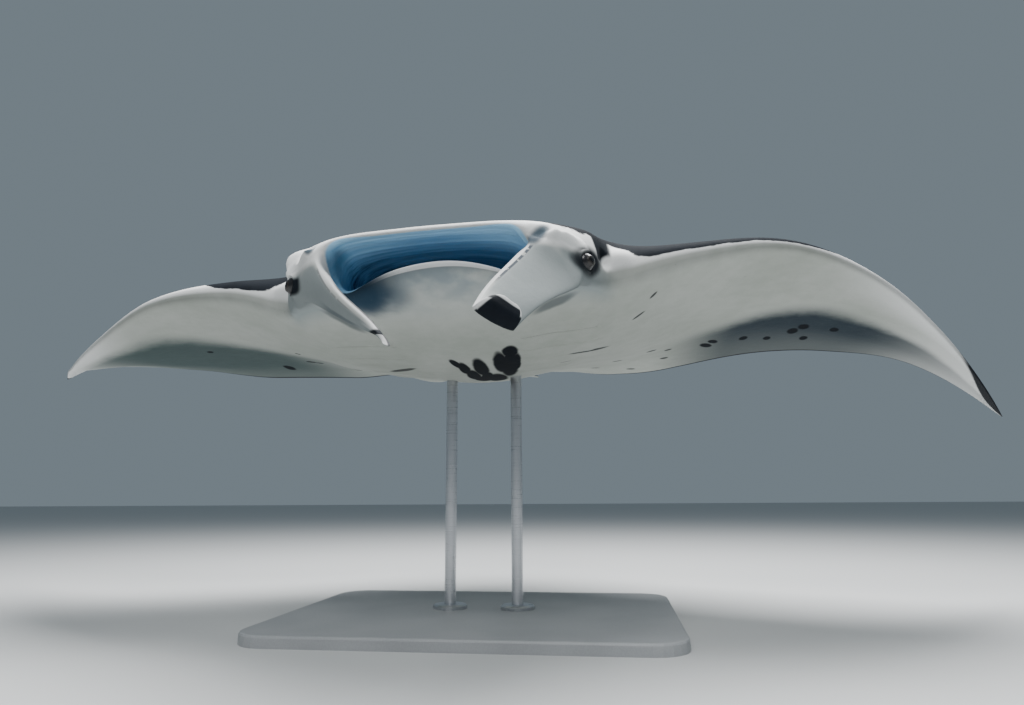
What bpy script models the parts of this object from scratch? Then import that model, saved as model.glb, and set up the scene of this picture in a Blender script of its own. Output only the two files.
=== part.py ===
import math

import bmesh
import bpy
import numpy as np
from mathutils import Euler, Matrix, Vector
from mathutils.bvhtree import BVHTree

# Metres. +X is the ray's left side, the head faces -Y and z 0 is the plane of the level wings.
discWidth = 3.4
halfSpan = discWidth / 2
wingStart = 0.118 * discWidth
noseTurn = -2.9  # degrees about X, nose up
bankTurn = -2.2  # degrees about Y, left wing up
balancePoint = Vector((0, 0.74, 0))
wingPlaneHeight = 0.875
cutGap = 0.0003
keptShare = 0.15  # share of the smoothed faces kept

# Stations across one half of the body, and rows down its chord as shares of it.
stations = (0, 0.05, 0.10, 0.165, 0.236, 0.284, 0.322, 0.352, 0.372, 0.402, 0.50, 0.646, 0.85, 1.07,
            1.275, 1.45, 1.59, 1.70)
chordRows = (0, 0.035, 0.095, 0.20, 0.36, 0.54, 0.72, 0.87, 1)
mouthEdge, lobeEdge = 0.236, 0.352
tailEdge, pelvicEdge = 0.05, 0.10
jawShift = 0.03  # the open jaw hangs a little to the left
tipFrom, tipHollow = 0.45, 0.0165  # where the outer wing's rear margin draws in, and how far per disc width
keelTaper = 0.35  # how much shallower the belly is beside its keel at the rear

# Curves by distance from the midline: (distance, value).
upperLipY = ((0, 0), (0.165, 0.006), (0.236, 0.026), (0.284, 0.044), (0.322, 0.066), (0.352, 0.11),
             (0.372, 0.185), (0.402, 0.262))
lowerJawY = ((0, 0.012), (0.10, 0.036), (0.165, 0.078), (0.236, 0.14), (0.284, 0.125), (0.322, 0.13),
             (0.352, 0.155), (0.372, 0.20), (0.402, 0.266))
upperLipZ = ((0, 0.034), (0.165, 0.034), (0.236, 0.030), (0.284, -0.004), (0.322, -0.034), (0.352, -0.040),
             (0.372, 0.0), (0.402, 0.030), (0.50, 0.022), (0.85, 0.008), (1.3, 0.005), (1.7, 0.003))
lowerJawZ = ((0, -0.040), (0.10, -0.044), (0.165, -0.052), (0.236, -0.062), (0.284, -0.072), (0.322, -0.080),
             (0.352, -0.076), (0.372, -0.056), (0.402, -0.030), (0.50, -0.018), (0.85, -0.009), (1.3, -0.005),
             (1.7, -0.003))
rearHalf = ((0, 0.028), (0.05, 0.024), (0.10, 0.012), (0.165, 0.007), (0.4, 0.006), (1.0, 0.004),
            (1.7, 0.002))
upperDepth = ((0, 0.150), (0.17, 0.146), (0.32, 0.130), (0.40, 0.116), (0.50, 0.096), (0.646, 0.064),
              (0.85, 0.042), (1.07, 0.028), (1.275, 0.018), (1.45, 0.011), (1.59, 0.006), (1.7, 0.003))
lowerDepth = ((0, 0.152), (0.17, 0.147), (0.32, 0.125), (0.40, 0.105), (0.50, 0.08), (0.646, 0.05),
              (0.85, 0.032), (1.07, 0.021), (1.275, 0.013), (1.45, 0.008), (1.59, 0.005), (1.7, 0.003))
browHeight = ((0, 0.005), (0.165, 0.006), (0.236, 0.012), (0.284, 0.011), (0.322, 0.012), (0.352, 0.022),
              (0.372, 0.037), (0.402, 0.060), (0.50, 0.022), (0.646, 0.019), (0.85, 0.014), (1.07, 0.010),
              (1.3, 0.004), (1.7, 0))
# Share of the depth by share of the chord.
upperRise = ((0, 0), (0.035, 0.38), (0.095, 0.58), (0.20, 0.80), (0.36, 0.98), (0.54, 1.0), (0.72, 0.80),
             (0.87, 0.42), (1, 0))
lowerRise = ((0, 0), (0.035, 0.50), (0.095, 0.64), (0.20, 0.84), (0.36, 1.0), (0.54, 0.87), (0.72, 0.52),
             (0.87, 0.22), (1, 0))

# Wing bend as slope along the half span, and twist about a line across the wings, in degrees.
bendAt = (0, 0.12, 0.25, 0.4, 0.55, 0.7, 0.85, 1)
twistAt = (0, 0.12, 0.2, 0.35, 0.5, 0.65, 0.8, 0.92, 1)
wingBend = {1: (0, -2.6, 3.9, 6.0, -10.8, -22.3, -35.8, -46.4),
            -1: (0, 0.4, 6.2, 1.7, -4.9, -4.9, -11.6, -22.7)}
wingTwist = {1: (0, -0.1, -0.1, -3.3, -5.3, -3.3, 4.1, 8.5, 10.7),
             -1: (0, 0.4, 4.6, -0.6, -2.3, 4.2, 13.2, 20.3, 21.1)}
twistLine = 0.2 * discWidth
bendFrom, bendFull = 0.27, 0.50

mouthRings = (
    {"back": 0.010, "wide": 0.945, "roof": 0.024, "floor": -0.044, "follow": 1, "lift": -0.008},
    {"back": 0.040, "wide": 0.94, "roof": 0.040, "floor": -0.060, "follow": 0.9, "lift": 0.004},
    {"back": 0.12, "wide": 0.92, "roof": 0.052, "floor": -0.068, "follow": 0.6, "lift": 0},
    {"back": 0.23, "wide": 0.82, "roof": 0.062, "floor": -0.082, "follow": 0.3, "lift": 0},
    {"back": 0.34, "wide": 0.60, "roof": 0.050, "floor": -0.070, "follow": 0.15, "lift": 0},
    {"back": 0.42, "wide": 0.34, "roof": 0.020, "floor": -0.040, "follow": 0.1, "lift": 0},
)

# Front and rear margins of each cephalic lobe from root to fold.
lobeFront = {
    1: ((0.220, 0.04, -0.003), (0.186, -0.04, -0.083), (0.150, -0.12, -0.156), (0.143, -0.19, -0.214)),
    -1: ((-0.237, 0.04, 0.001), (-0.165, -0.035, -0.11), (-0.082, -0.10, -0.186), (-0.036, -0.148, -0.238)),
}
lobeRear = {
    1: ((0.335, 0.10, -0.09), (0.296, 0.025, -0.133), (0.254, -0.06, -0.178), (0.208, -0.132, -0.247)),
    -1: ((-0.318, 0.13, -0.05), (-0.22, 0.06, -0.118), (-0.128, -0.01, -0.18), (-0.057, -0.12, -0.231)),
}
lobeShares = (0.08, 0.28, 0.5, 0.75, 1)
frameStep = 0.04  # share of the lobe's length that gives its direction
lobeHalfRoot, lobeHalfTip = 0.016, 0.007
lobeSection = (0.85, 1.0, 0.8, 0.45)

# The lobe's end: the left one folds back over itself, the right one narrows to a spike.
lobeEnds = {
    1: {"radius": 0.014, "flap": 0.033, "middle": 0.48, "edge": (0.002, 0.006, 0.008, 0.003), "rings": (
        {"turn": 60, "wide": 1, "reach": 0}, {"turn": 120, "wide": 0.96, "reach": 0},
        {"turn": 172, "wide": 0.90, "reach": 0}, {"turn": 172, "wide": 0.82, "reach": 0.4},
        {"turn": 172, "wide": 0.62, "reach": 0.8}, {"turn": 172, "wide": 0.32, "reach": 1})},
    -1: {"radius": 0.006, "flap": 0.040, "middle": 0.2, "edge": (0, 0, 0, 0), "aim": (0.70, -0.02, -0.71),
         "rings": (
        {"turn": 3, "wide": 0.85, "reach": 0.1}, {"turn": 6, "wide": 0.65, "reach": 0.25},
        {"turn": 9, "wide": 0.48, "reach": 0.42}, {"turn": 12, "wide": 0.36, "reach": 0.6},
        {"turn": 15, "wide": 0.26, "reach": 0.8}, {"turn": 18, "wide": 0.14, "reach": 1})},
}

tailRings = (
    {"y": 1.58, "wide": 0.036, "high": 0.024}, {"y": 1.66, "wide": 0.023, "high": 0.019},
    {"y": 1.80, "wide": 0.016, "high": 0.015}, {"y": 2.02, "wide": 0.011, "high": 0.011},
    {"y": 2.26, "wide": 0.008, "high": 0.008}, {"y": 2.48, "wide": 0.006, "high": 0.006},
    {"y": 2.66, "wide": 0.004, "high": 0.004},
)
rearLift, tailSlope = 0.06, 0.20
liftFrom, liftFull = 0.95, 1.50  # where the rear of the trunk begins to rise and is fully raised
liftInner, liftOuter = 0.12, 0.42  # the rise fades out between these distances from the midline
browAlong = (0, 0.05, 0.14, 0.36)  # shares of the chord where the brow begins, is full, and ends
keelInner, keelOuter = 0.04, 0.24
keelFrom, keelFull = 0.30, 0.70  # shares of the chord
dorsalRings = (
    {"front": 1.385, "rear": 1.50, "half": 0.016, "up": 0.008},
    {"front": 1.415, "rear": 1.515, "half": 0.011, "up": 0.045},
    {"front": 1.455, "rear": 1.525, "half": 0.007, "up": 0.080},
    {"front": 1.49, "rear": 1.53, "half": 0.004, "up": 0.10},
)
pelvicRings = (
    {"back": 0.035, "inner": 0.108, "outer": 0.232, "half": 0.008},
    {"back": 0.085, "inner": 0.118, "outer": 0.222, "half": 0.006},
    {"back": 0.125, "inner": 0.138, "outer": 0.202, "half": 0.004},
)
pelvicSlope = 0.28

eyeRadius = 0.024
eyeCentres = {"left": Vector((0.334, 0.121, -0.029)), "right": Vector((-0.316, 0.109, -0.027))}
baseSize = (1.10, 0.84, 0.03)
cornerRadius, rimRadius = 0.09, 0.006
rodRadius, flangeRadius, flangeHeight = 0.017, 0.05, 0.012
rodPlaces = {"left": 0.10, "right": -0.10}  # distance from the midline
rodLine = 0.78
socketDepth = 0.055
tailCuts = {"tail_root": 1.60, "tail_middle": 1.98, "tail_end": 2.34}
headCut, trunkCut = 0.50, 1.0
wingCuts = {"inner": 0.55, "middle": 1.02, "outer": 1.38}
dorsalCut = Vector((0, 1.45, 0.128))
pelvicCut = Vector((0.17, 1.545, 0.06))
lobeCutShare = 0.16  # share of the lobe's first stretch, where the cut parts it from the head


def clearScene():
    for obj in list(bpy.data.objects):
        bpy.data.objects.remove(obj)


def curve(table, at):
    """Value at a place on a smooth curve through the table's (place, value) pairs, without overshoot."""
    xs, ys = np.array(table, float).T
    slopes = np.diff(ys) / np.diff(xs)
    leans = np.concatenate([slopes[:1], np.zeros(len(slopes) - 1), slopes[-1:]])
    for k in range(1, len(slopes)):
        before, after = slopes[k - 1], slopes[k]
        leans[k] = 2 * before * after / (before + after) if before * after > 0 else 0
    k = min(max(int(np.searchsorted(xs, at)) - 1, 0), len(slopes) - 1)
    width = xs[k + 1] - xs[k]
    u = min(max((at - xs[k]) / width, 0), 1)
    return float((1 + 2 * u) * (1 - u) ** 2 * ys[k] + u * (1 - u) ** 2 * width * leans[k]
                 + u * u * (3 - 2 * u) * ys[k + 1] + u * u * (u - 1) * width * leans[k + 1])


def mix(a, b, share):
    return a + (b - a) * share


def ease(low, high, at):
    u = min(max((at - low) / (high - low), 0), 1)
    return u * u * (3 - 2 * u)


def hump(places, at):
    """Rises from 0 to 1 between the first two places and falls back between the last two."""
    return ease(places[0], places[1], at) * (1 - ease(places[2], places[3], at))


def leadingY(x):
    u = max((x - wingStart) / (halfSpan - wingStart), 0)
    return discWidth * (0.078 + 0.267 * u ** 2.4)


def trailingY(x):
    u = min(max((x / discWidth - 0.04) / 0.46, 0), 1)
    tip = min(max((x / halfSpan - tipFrom) / (1 - tipFrom), 0), 1)
    hollow = 0.0608 * math.sin(math.pi * u ** 1.3) + tipHollow * math.sin(math.pi * tip ** 1.2) ** 2
    return discWidth * (0.345 + 0.105 * (1 - u) ** 1.25 - hollow)


def shellPoint(x, share, side):
    """Point of the level body: x across, share down the chord, side 1 above and -1 below."""
    out = abs(x)
    lipY, lipZ, lipAt = upperLipY, upperLipZ, out
    depth, rise, keel = upperDepth, upperRise, 1
    brow = curve(browHeight, out) * hump(browAlong, share)
    if side < 0:
        lipY, lipZ = lowerJawY, lowerJawZ
        lipAt = abs(x - jawShift * max(1 - (x / mouthEdge) ** 2, 0))
        depth, rise = lowerDepth, lowerRise
        brow = 0
        keel = 1 - keelTaper * ease(keelInner, keelOuter, out) * ease(keelFrom, keelFull, share)
    y = mix(leadingY(out) if out > wingStart else curve(lipY, lipAt), trailingY(out), share)
    edge = curve(lipZ, lipAt) * (1 - ease(0, chordRows[1], share))
    hem = curve(rearHalf, out) * ease(chordRows[-2], 1, share)
    z = edge + side * (curve(depth, out) * curve(rise, share) * keel + hem)
    lift = rearLift * ease(liftFrom, liftFull, y) * (1 - ease(liftInner, liftOuter, out))
    return Vector((x, y, z + brow + lift))


def wingCurve(side):
    """Cumulative outward and upward travel and slope along the half span."""
    shares = np.linspace(0, 1, 101)
    slope = np.radians([curve(tuple(zip(bendAt, wingBend[side])), s) for s in shares])
    middle = (slope[1:] + slope[:-1]) / 2
    step = halfSpan / 100
    out = np.concatenate([[0], np.cumsum(np.cos(middle)) * step])
    up = np.concatenate([[0], np.cumsum(np.sin(middle)) * step])
    return shares, out, up, slope


wingCurves = {side: wingCurve(side) for side in (1, -1)}


def bendWing(point):
    side = 1 if point.x >= 0 else -1
    shares, out, up, slope = wingCurves[side]
    share = min(abs(point.x) / halfSpan, 1)
    turn = float(np.interp(share, shares, slope))
    twist = math.radians(curve(tuple(zip(twistAt, wingTwist[side])), share))
    z = point.z + math.tan(twist) * (point.y - twistLine)
    bent = Vector((side * (float(np.interp(share, shares, out)) - z * math.sin(turn)), point.y,
                   float(np.interp(share, shares, up)) + z * math.cos(turn)))
    return point.lerp(bent, ease(bendFrom, bendFull, abs(point.x)))


def standPose():
    turn = Euler((math.radians(noseTurn), math.radians(bankTurn), 0), "ZYX").to_matrix()
    centre = turn @ balancePoint
    shift = Vector((-centre.x, -centre.y, wingPlaneHeight))
    return Matrix.Translation(shift) @ turn.to_4x4()


def grow(bm, faces, rings, place):
    """Extrudes the faces once for each ring and sets every new vertex by place(vertex, ring)."""
    for ring in rings:
        made = bmesh.ops.extrude_face_region(bm, geom=faces)["geom"]
        bmesh.ops.delete(bm, geom=faces, context="FACES")
        faces = [item for item in made if isinstance(item, bmesh.types.BMFace)]
        for vert in {v for face in faces for v in face.verts}:
            vert.co = place(vert, ring)


def bodyCage():
    """The whole animal as one closed cage of quads, level and unbent, then bent and posed."""
    across = [-x for x in reversed(stations[1:])] + list(stations)
    bm = bmesh.new()
    column, row, side = (bm.verts.layers.int.new(name) for name in ("column", "row", "side"))
    bmesh.ops.create_grid(bm, x_segments=len(across) - 1, y_segments=len(chordRows) - 1, size=1)
    for vert in bm.verts:
        vert[column] = round((vert.co.x + 1) / 2 * (len(across) - 1))
        vert[row] = round((vert.co.y + 1) / 2 * (len(chordRows) - 1))
        vert[side] = 1
    under = bmesh.ops.extrude_face_region(bm, geom=bm.faces[:], use_keep_orig=True)["geom"]
    for vert in (item for item in under if isinstance(item, bmesh.types.BMVert)):
        vert[side] = -1
    for vert in bm.verts:
        vert.co = shellPoint(across[vert[column]], chordRows[vert[row]], vert[side])
    bmesh.ops.recalc_face_normals(bm, faces=bm.faces)

    def at(vert):
        return across[vert[column]]

    def strip(rows, inner, outer, sides=(1, -1)):
        """Faces between two stations whose corners lie on all the rows and sides given and on no other."""
        return [face for face in bm.faces if {v[row] for v in face.verts} == set(rows)
                and {v[side] for v in face.verts} == set(sides) and len({v[column] for v in face.verts}) == 2
                and all(inner - 1e-6 <= at(v) <= outer + 1e-6 for v in face.verts)]

    def mouthPlace(vert, ring):
        x, up = at(vert), vert[side]
        lip = shellPoint(x, 0, up)
        half = (ring["roof"] - ring["floor"]) / 2
        inside = (ring["roof"] + ring["floor"]) / 2 + up * half * math.sqrt(1 - (0.9 * x / mouthEdge) ** 2)
        return Vector((x * ring["wide"], ring["back"] + lip.y * ring["follow"],
                       mix(inside, lip.z + up * ring["lift"], ring["follow"])))

    def lobeGrow(hand):
        columns = [x for x in stations if mouthEdge <= x <= lobeEdge]
        shares = np.linspace(0, 1, len(lobeFront[hand]))
        front = [tuple(zip(shares, axis)) for axis in zip(*lobeFront[hand])]
        rear = [tuple(zip(shares, axis)) for axis in zip(*lobeRear[hand])]
        end = lobeEnds[hand]

        def margins(share):
            return [Vector([curve(axis, share) for axis in margin]) for margin in (front, rear)]

        def frame(share):
            (f0, r0), (f1, r1) = margins(share - frameStep), margins(share)
            onward = (f1 + r1 - f0 - r0).normalized()
            outward = (r1 - f1).cross(onward).normalized()
            return f1, r1 - f1, onward, outward if outward.y < 0 else -outward

        def lobePlace(vert, ring):
            index = columns.index(abs(at(vert)))
            place = index / (len(columns) - 1)
            start, width, onward, outward = frame(ring["share"])
            half = mix(lobeHalfRoot, lobeHalfTip, ring["share"]) * lobeSection[index]
            if ring["share"] == 1:
                start = start + onward * end["edge"][index]
            if not ring["turn"]:
                return start + width * place + outward * half * vert[side]
            turn = math.radians(ring["turn"])
            centre = start + width * mix(end["middle"], place, ring["wide"]) + outward * end["radius"]
            onward = Vector(end.get("aim", onward))
            reach = onward * math.cos(turn) + outward * math.sin(turn)
            spoke = outward * math.cos(turn) - onward * math.sin(turn)
            return centre - spoke * (end["radius"] - half * vert[side]) + reach * end["flap"] * ring["reach"]

        rings = [{"share": share, "turn": 0} for share in lobeShares]
        rings += [{"share": 1, **ring} for ring in end["rings"]]
        lower, upper = sorted((hand * mouthEdge, hand * lobeEdge))
        grow(bm, strip((0,), lower, upper), rings, lobePlace)

    def tailPlace(vert, ring):
        over = at(vert) / tailEdge
        rise = rearLift + tailSlope * (ring["y"] - trailingY(0))
        half = ring["high"] * (1 - 0.45 * abs(over))
        return Vector((over * ring["wide"], ring["y"], rise + vert[side] * half))

    def dorsalPlace(vert, ring):
        y = ring["front"] if vert[row] < len(chordRows) - 1 else ring["rear"]
        base = shellPoint(0, (y - upperLipY[0][1]) / trailingY(0), 1).z
        return Vector((at(vert) / tailEdge * ring["half"], y, base + ring["up"]))

    def pelvicPlace(vert, ring):
        x = at(vert)
        over = (abs(x) - pelvicEdge) / (mouthEdge - pelvicEdge)
        edge = 0.7 if over in (0, 1) else 1
        z = shellPoint(x, 1, 1).z + pelvicSlope * ring["back"] + ring["half"] * (vert[side] * edge - 1)
        return Vector((math.copysign(mix(ring["inner"], ring["outer"], over), x),
                       trailingY(abs(x)) + ring["back"], z))

    last = len(chordRows) - 1
    grow(bm, strip((0,), -mouthEdge, mouthEdge), mouthRings, mouthPlace)
    for hand in (1, -1):
        lobeGrow(hand)
        inner, outer = sorted((hand * pelvicEdge, hand * mouthEdge))
        grow(bm, strip((last,), inner, outer), pelvicRings, pelvicPlace)
    grow(bm, strip((last,), -tailEdge, tailEdge), tailRings, tailPlace)
    grow(bm, strip((last - 1, last), -tailEdge, tailEdge, (1,)), dorsalRings, dorsalPlace)
    bmesh.ops.recalc_face_normals(bm, faces=bm.faces)
    pose = standPose()
    for vert in bm.verts:
        vert.co = pose @ bendWing(vert.co)
    return bm


def material(name, colour, roughness, metallic=0):
    made = bpy.data.materials.new(name)
    made.use_nodes = True
    shader = made.node_tree.nodes["Principled BSDF"]
    shader.inputs["Base Color"].default_value = (*colour, 1)
    shader.inputs["Roughness"].default_value = roughness
    shader.inputs["Metallic"].default_value = metallic
    return made


def addObject(name, bm, look=None, place=None):
    """Makes an object from a bmesh, with its origin at place or at its middle."""
    if place is None:
        place = sum((v.co for v in bm.verts), Vector()) / len(bm.verts)
    bmesh.ops.translate(bm, verts=bm.verts, vec=-place)
    mesh = bpy.data.meshes.new(name)
    bm.to_mesh(mesh)
    bm.free()
    for face in mesh.polygons:
        face.use_smooth = True
    obj = bpy.data.objects.new(name, mesh)
    obj.location = place
    bpy.context.scene.collection.objects.link(obj)
    if look:
        mesh.materials.append(look)
    return obj


def addCutter(name, bm):
    obj = addObject(name, bm, place=Vector())
    obj.hide_render = True
    obj.display_type = "WIRE"
    return obj


def plate(centre, normal, wide, high, lean=(0, 0, 1)):
    """A thin cutting plate in the level frame: wide along normal x lean, high along lean."""
    normal = Vector(normal).normalized()
    over = Vector(lean).cross(normal).normalized()
    frame = Matrix((over, normal.cross(over), normal)).transposed().to_4x4()
    bm = bmesh.new()
    bmesh.ops.create_cube(bm, size=1, matrix=standPose() @ Matrix.Translation(centre) @ frame
                          @ Matrix.Diagonal((wide, high, cutGap, 1)))
    return bm


def applyModifiers(obj):
    graph = bpy.context.evaluated_depsgraph_get()
    mesh = bpy.data.meshes.new_from_object(obj.evaluated_get(graph))
    obj.modifiers.clear()
    obj.data = mesh


def subtract(obj, cutters):
    """Takes all the cutters away in one step."""
    group = bpy.data.collections.new("cutters")
    for cutter in cutters:
        group.objects.link(cutter)
    cut = obj.modifiers.new("part", "BOOLEAN")
    cut.operation = "DIFFERENCE"
    cut.solver = "EXACT"
    cut.operand_type = "COLLECTION"
    cut.collection = group
    applyModifiers(obj)


def loosePieces(obj):
    """Splits the object's mesh in its separate bodies, each returned as a bmesh."""
    whole = bmesh.new()
    whole.from_mesh(obj.data)
    whole.verts.index_update()
    group = list(range(len(whole.verts)))

    def root(index):
        while group[index] != index:
            group[index] = group[group[index]]
            index = group[index]
        return index

    for edge in whole.edges:
        group[root(edge.verts[0].index)] = root(edge.verts[1].index)
    pieces = []
    for key in sorted({root(v.index) for v in whole.verts}):
        piece = whole.copy()
        piece.verts.ensure_lookup_table()
        bmesh.ops.delete(piece, geom=[v for v in piece.verts if root(v.index) != key], context="VERTS")
        pieces.append(piece)
    whole.free()
    return pieces


def fleshCutters():
    """Thin plates that part the body into its sub-parts."""
    plates = {
        "head_cut": plate((0, headCut, 0), (0, 1, 0), 2 * wingCuts["inner"], 0.7),
        "trunk_cut": plate((0, trunkCut, 0), (0, 1, 0), 2 * wingCuts["inner"], 0.7),
        "dorsal_cut": plate(dorsalCut, (0, 0.15, 1), 0.12, 0.26, (0, 1, 0)),
    }
    for name, y in tailCuts.items():
        rise = rearLift + tailSlope * (y - trailingY(0))
        plates[f"{name}_cut"] = plate((0, y, rise), (0, 1, 0), 0.16, 0.16)
    for name, hand in (("left", 1), ("right", -1)):
        for part, x in wingCuts.items():
            plates[f"wing_{part}_cut_{name}"] = plate((hand * x, 0.85, 0), (1, 0, 0), 2.0, 1.2)
        front, rear = Vector(lobeFront[hand][0]), Vector(lobeRear[hand][0])
        onward = Vector(lobeFront[hand][1]) + Vector(lobeRear[hand][1]) - front - rear
        middle = (front + rear) / 2 + onward * lobeCutShare
        plates[f"lobe_cut_{name}"] = plate(middle, onward, 0.10, 0.24, rear - front)
        spot = (hand * pelvicCut.x, pelvicCut.y, pelvicCut.z)
        plates[f"pelvic_cut_{name}"] = plate(spot, (0, 1, 0), 0.17, 0.12)
    return [addCutter(name, bm) for name, bm in plates.items()]


def roundRod(radii, bottom=0, segments=20):
    """A turned rod from (radius, height) pairs, standing at the origin."""
    bm = bmesh.new()
    rings = []
    for radius, height in radii:
        rings.append(bmesh.ops.create_circle(bm, segments=segments, radius=radius,
                                             matrix=Matrix.Translation((0, 0, bottom + height)))["verts"])
    for low, high in zip(rings, rings[1:]):
        edges = {e for v in low + high for e in v.link_edges if e.is_wire or len(e.link_faces) == 1}
        edges = [e for e in edges if all(v in low for v in e.verts) or all(v in high for v in e.verts)]
        bmesh.ops.bridge_loops(bm, edges=edges)
    bmesh.ops.contextual_create(bm, geom=rings[0])
    bmesh.ops.contextual_create(bm, geom=rings[-1])
    bmesh.ops.recalc_face_normals(bm, faces=bm.faces)
    return bm


def standRods(bodyMesh, look):
    """Two rods with flanges; returns the cutters for their sockets in the belly."""
    tree = BVHTree.FromBMesh(bodyMesh)
    pose = standPose()
    cutters = []
    for name, x in rodPlaces.items():
        foot = pose @ Vector((x, rodLine, 0))
        belly = tree.ray_cast(Vector((foot.x, foot.y, 0)), Vector((0, 0, 1)))[0]
        top = belly.z + socketDepth
        low = baseSize[2] + cutGap
        profile = ((flangeRadius, 0), (flangeRadius, flangeHeight * 0.7), (flangeRadius * 0.9, flangeHeight),
                   (rodRadius, flangeHeight), (rodRadius, top - low))
        rod = roundRod(profile)
        addObject(f"stand_rod_{name}", rod, look, Vector()).location = (foot.x, foot.y, low)
        bore = rodRadius + cutGap
        length = 2 * socketDepth
        socket = roundRod(((bore, 0), (bore, length)), top + cutGap - length)
        bmesh.ops.translate(socket, verts=socket.verts, vec=(foot.x, foot.y, 0))
        cutters.append(addCutter(f"socket_{name}", socket))
    return cutters


def standBase(look):
    bm = bmesh.new()
    wide, deep, high = baseSize
    block = Matrix.Translation((0, 0, high / 2)) @ Matrix.Diagonal((wide, deep, high, 1))
    bmesh.ops.create_cube(bm, size=1, matrix=block)
    upright = [e for e in bm.edges if abs(e.verts[0].co.z - e.verts[1].co.z) > high / 2]
    bmesh.ops.bevel(bm, geom=upright, offset=cornerRadius, segments=6, profile=0.5, affect="EDGES")
    above = [e for e in bm.edges if all(v.co.z > high * 0.9 for v in e.verts)]
    rim = [e for e in above if len({round(f.normal.z, 2) for f in e.link_faces}) > 1]
    bmesh.ops.bevel(bm, geom=rim, offset=rimRadius, segments=2, profile=0.5, affect="EDGES")
    base = addObject("stand_base", bm, look, Vector())
    for face in base.data.polygons:
        face.use_smooth = False


def eyeBall(name, centre, look):
    bm = bmesh.new()
    bmesh.ops.create_uvsphere(bm, u_segments=14, v_segments=8, radius=eyeRadius)
    obj = addObject(name, bm, look, Vector())
    obj.location = standPose() @ bendWing(centre)
    cutter = bmesh.new()
    bmesh.ops.create_uvsphere(cutter, u_segments=14, v_segments=8, radius=eyeRadius + cutGap * 2)
    bmesh.ops.translate(cutter, verts=cutter.verts, vec=obj.location)
    return addCutter(f"{obj.name}_socket", cutter)


def pieceName(middle):
    """Names a body by where its middle lies in the level frame."""
    x, y, z = middle
    hand = "left" if x > 0 else "right"
    if abs(x) > wingCuts["inner"]:
        part = max((at, name) for name, at in wingCuts.items() if abs(x) > at)[1]
        return f"wing_{part}_{hand}"
    if y > pelvicCut.y and abs(x) > pelvicEdge:
        return f"pelvic_fin_{hand}"
    if y > tailCuts["tail_root"]:
        return max((at, name) for name, at in tailCuts.items() if y > at)[1]
    if (Vector(middle) - dorsalCut).z > -0.05 and y > dorsalRings[0]["front"]:
        return "dorsal_fin"
    if y < 0 and z < lowerJawZ[0][1]:
        return f"cephalic_fin_{hand}"
    return "head" if y < headCut else "trunk_front" if y < trunkCut else "trunk_rear"


def build():
    clearScene()
    skin = material("ray_skin", (0.62, 0.64, 0.64), 0.5)
    dark = material("ray_back", (0.03, 0.035, 0.045), 0.5)
    pupil = material("eye_black", (0.01, 0.01, 0.012), 0.1)
    steel = material("rod_steel", (0.62, 0.63, 0.65), 0.3, 1)
    board = material("base_board", (0.34, 0.35, 0.36), 0.45)
    body = addObject("body_shape", bodyCage(), place=Vector())
    smooth = body.modifiers.new("smooth", "SUBSURF")
    smooth.levels = smooth.render_levels = 2
    thin = body.modifiers.new("thin", "DECIMATE")
    thin.ratio = keptShare
    thin.use_collapse_triangulate = True
    applyModifiers(body)
    shape = bmesh.new()
    shape.from_mesh(body.data)
    cutters = standRods(shape, steel) + fleshCutters()
    cutters += [eyeBall(f"eye_{side}", centre, pupil) for side, centre in eyeCentres.items()]
    shape.free()
    standBase(board)
    subtract(body, cutters)
    level = standPose().inverted()
    for piece in loosePieces(body):
        low = Vector([min(v.co[k] for v in piece.verts) for k in range(3)])
        high = Vector([max(v.co[k] for v in piece.verts) for k in range(3)])
        name = pieceName(level @ ((low + high) / 2))
        addObject(name, piece, dark if name.startswith(("tail", "dorsal")) else skin)
    bpy.data.objects.remove(body)


build()
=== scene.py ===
import math

import bmesh
import bpy
import numpy as np
from mathutils import Euler, Matrix, Vector


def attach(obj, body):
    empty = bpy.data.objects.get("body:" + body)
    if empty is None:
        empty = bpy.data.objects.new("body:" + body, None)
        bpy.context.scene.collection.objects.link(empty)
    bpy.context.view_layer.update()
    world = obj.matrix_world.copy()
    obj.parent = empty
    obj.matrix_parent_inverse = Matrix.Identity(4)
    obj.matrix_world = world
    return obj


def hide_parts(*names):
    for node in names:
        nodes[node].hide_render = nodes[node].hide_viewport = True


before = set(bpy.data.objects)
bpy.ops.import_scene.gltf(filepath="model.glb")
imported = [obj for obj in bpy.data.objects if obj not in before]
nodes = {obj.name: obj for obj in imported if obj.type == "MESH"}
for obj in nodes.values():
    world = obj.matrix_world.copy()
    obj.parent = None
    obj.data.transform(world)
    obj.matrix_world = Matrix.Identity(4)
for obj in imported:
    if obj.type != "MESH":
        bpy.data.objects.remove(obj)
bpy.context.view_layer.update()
print("frame loaded:", len(nodes), "nodes")

# Body frame, metres: +x is the ray's left, the head faces -y, z 0 is the plane of the level wings.
disc = {
    "width": 3.4,
    "wingStart": 0.4012,
    "stations": (0, 0.05, 0.10, 0.165, 0.236, 0.284, 0.322, 0.352, 0.372, 0.402, 0.50, 0.646, 0.85, 1.07,
                 1.275, 1.45, 1.59, 1.70),
    "chordRows": (0, 0.035, 0.095, 0.20, 0.36, 0.54, 0.72, 0.87, 1),
    "mouthEdge": 0.236,
    "lobeEdge": 0.352,
    "tailEdge": 0.05,
    "pelvicEdge": 0.10,
    "lead": {"start": 0.078, "sweep": 0.267, "bend": 2.4},  # shares of the width
    "trail": {"flat": 0.04, "run": 0.46, "atTip": 0.345, "drop": 0.105, "dropBend": 1.25,
              "hollow": 0.0608, "hollowBend": 1.3},
    "tip": {"from": 0.45, "hollow": 0.0165, "hollowBend": 1.2},
    "subdivide": 3,
}

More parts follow.
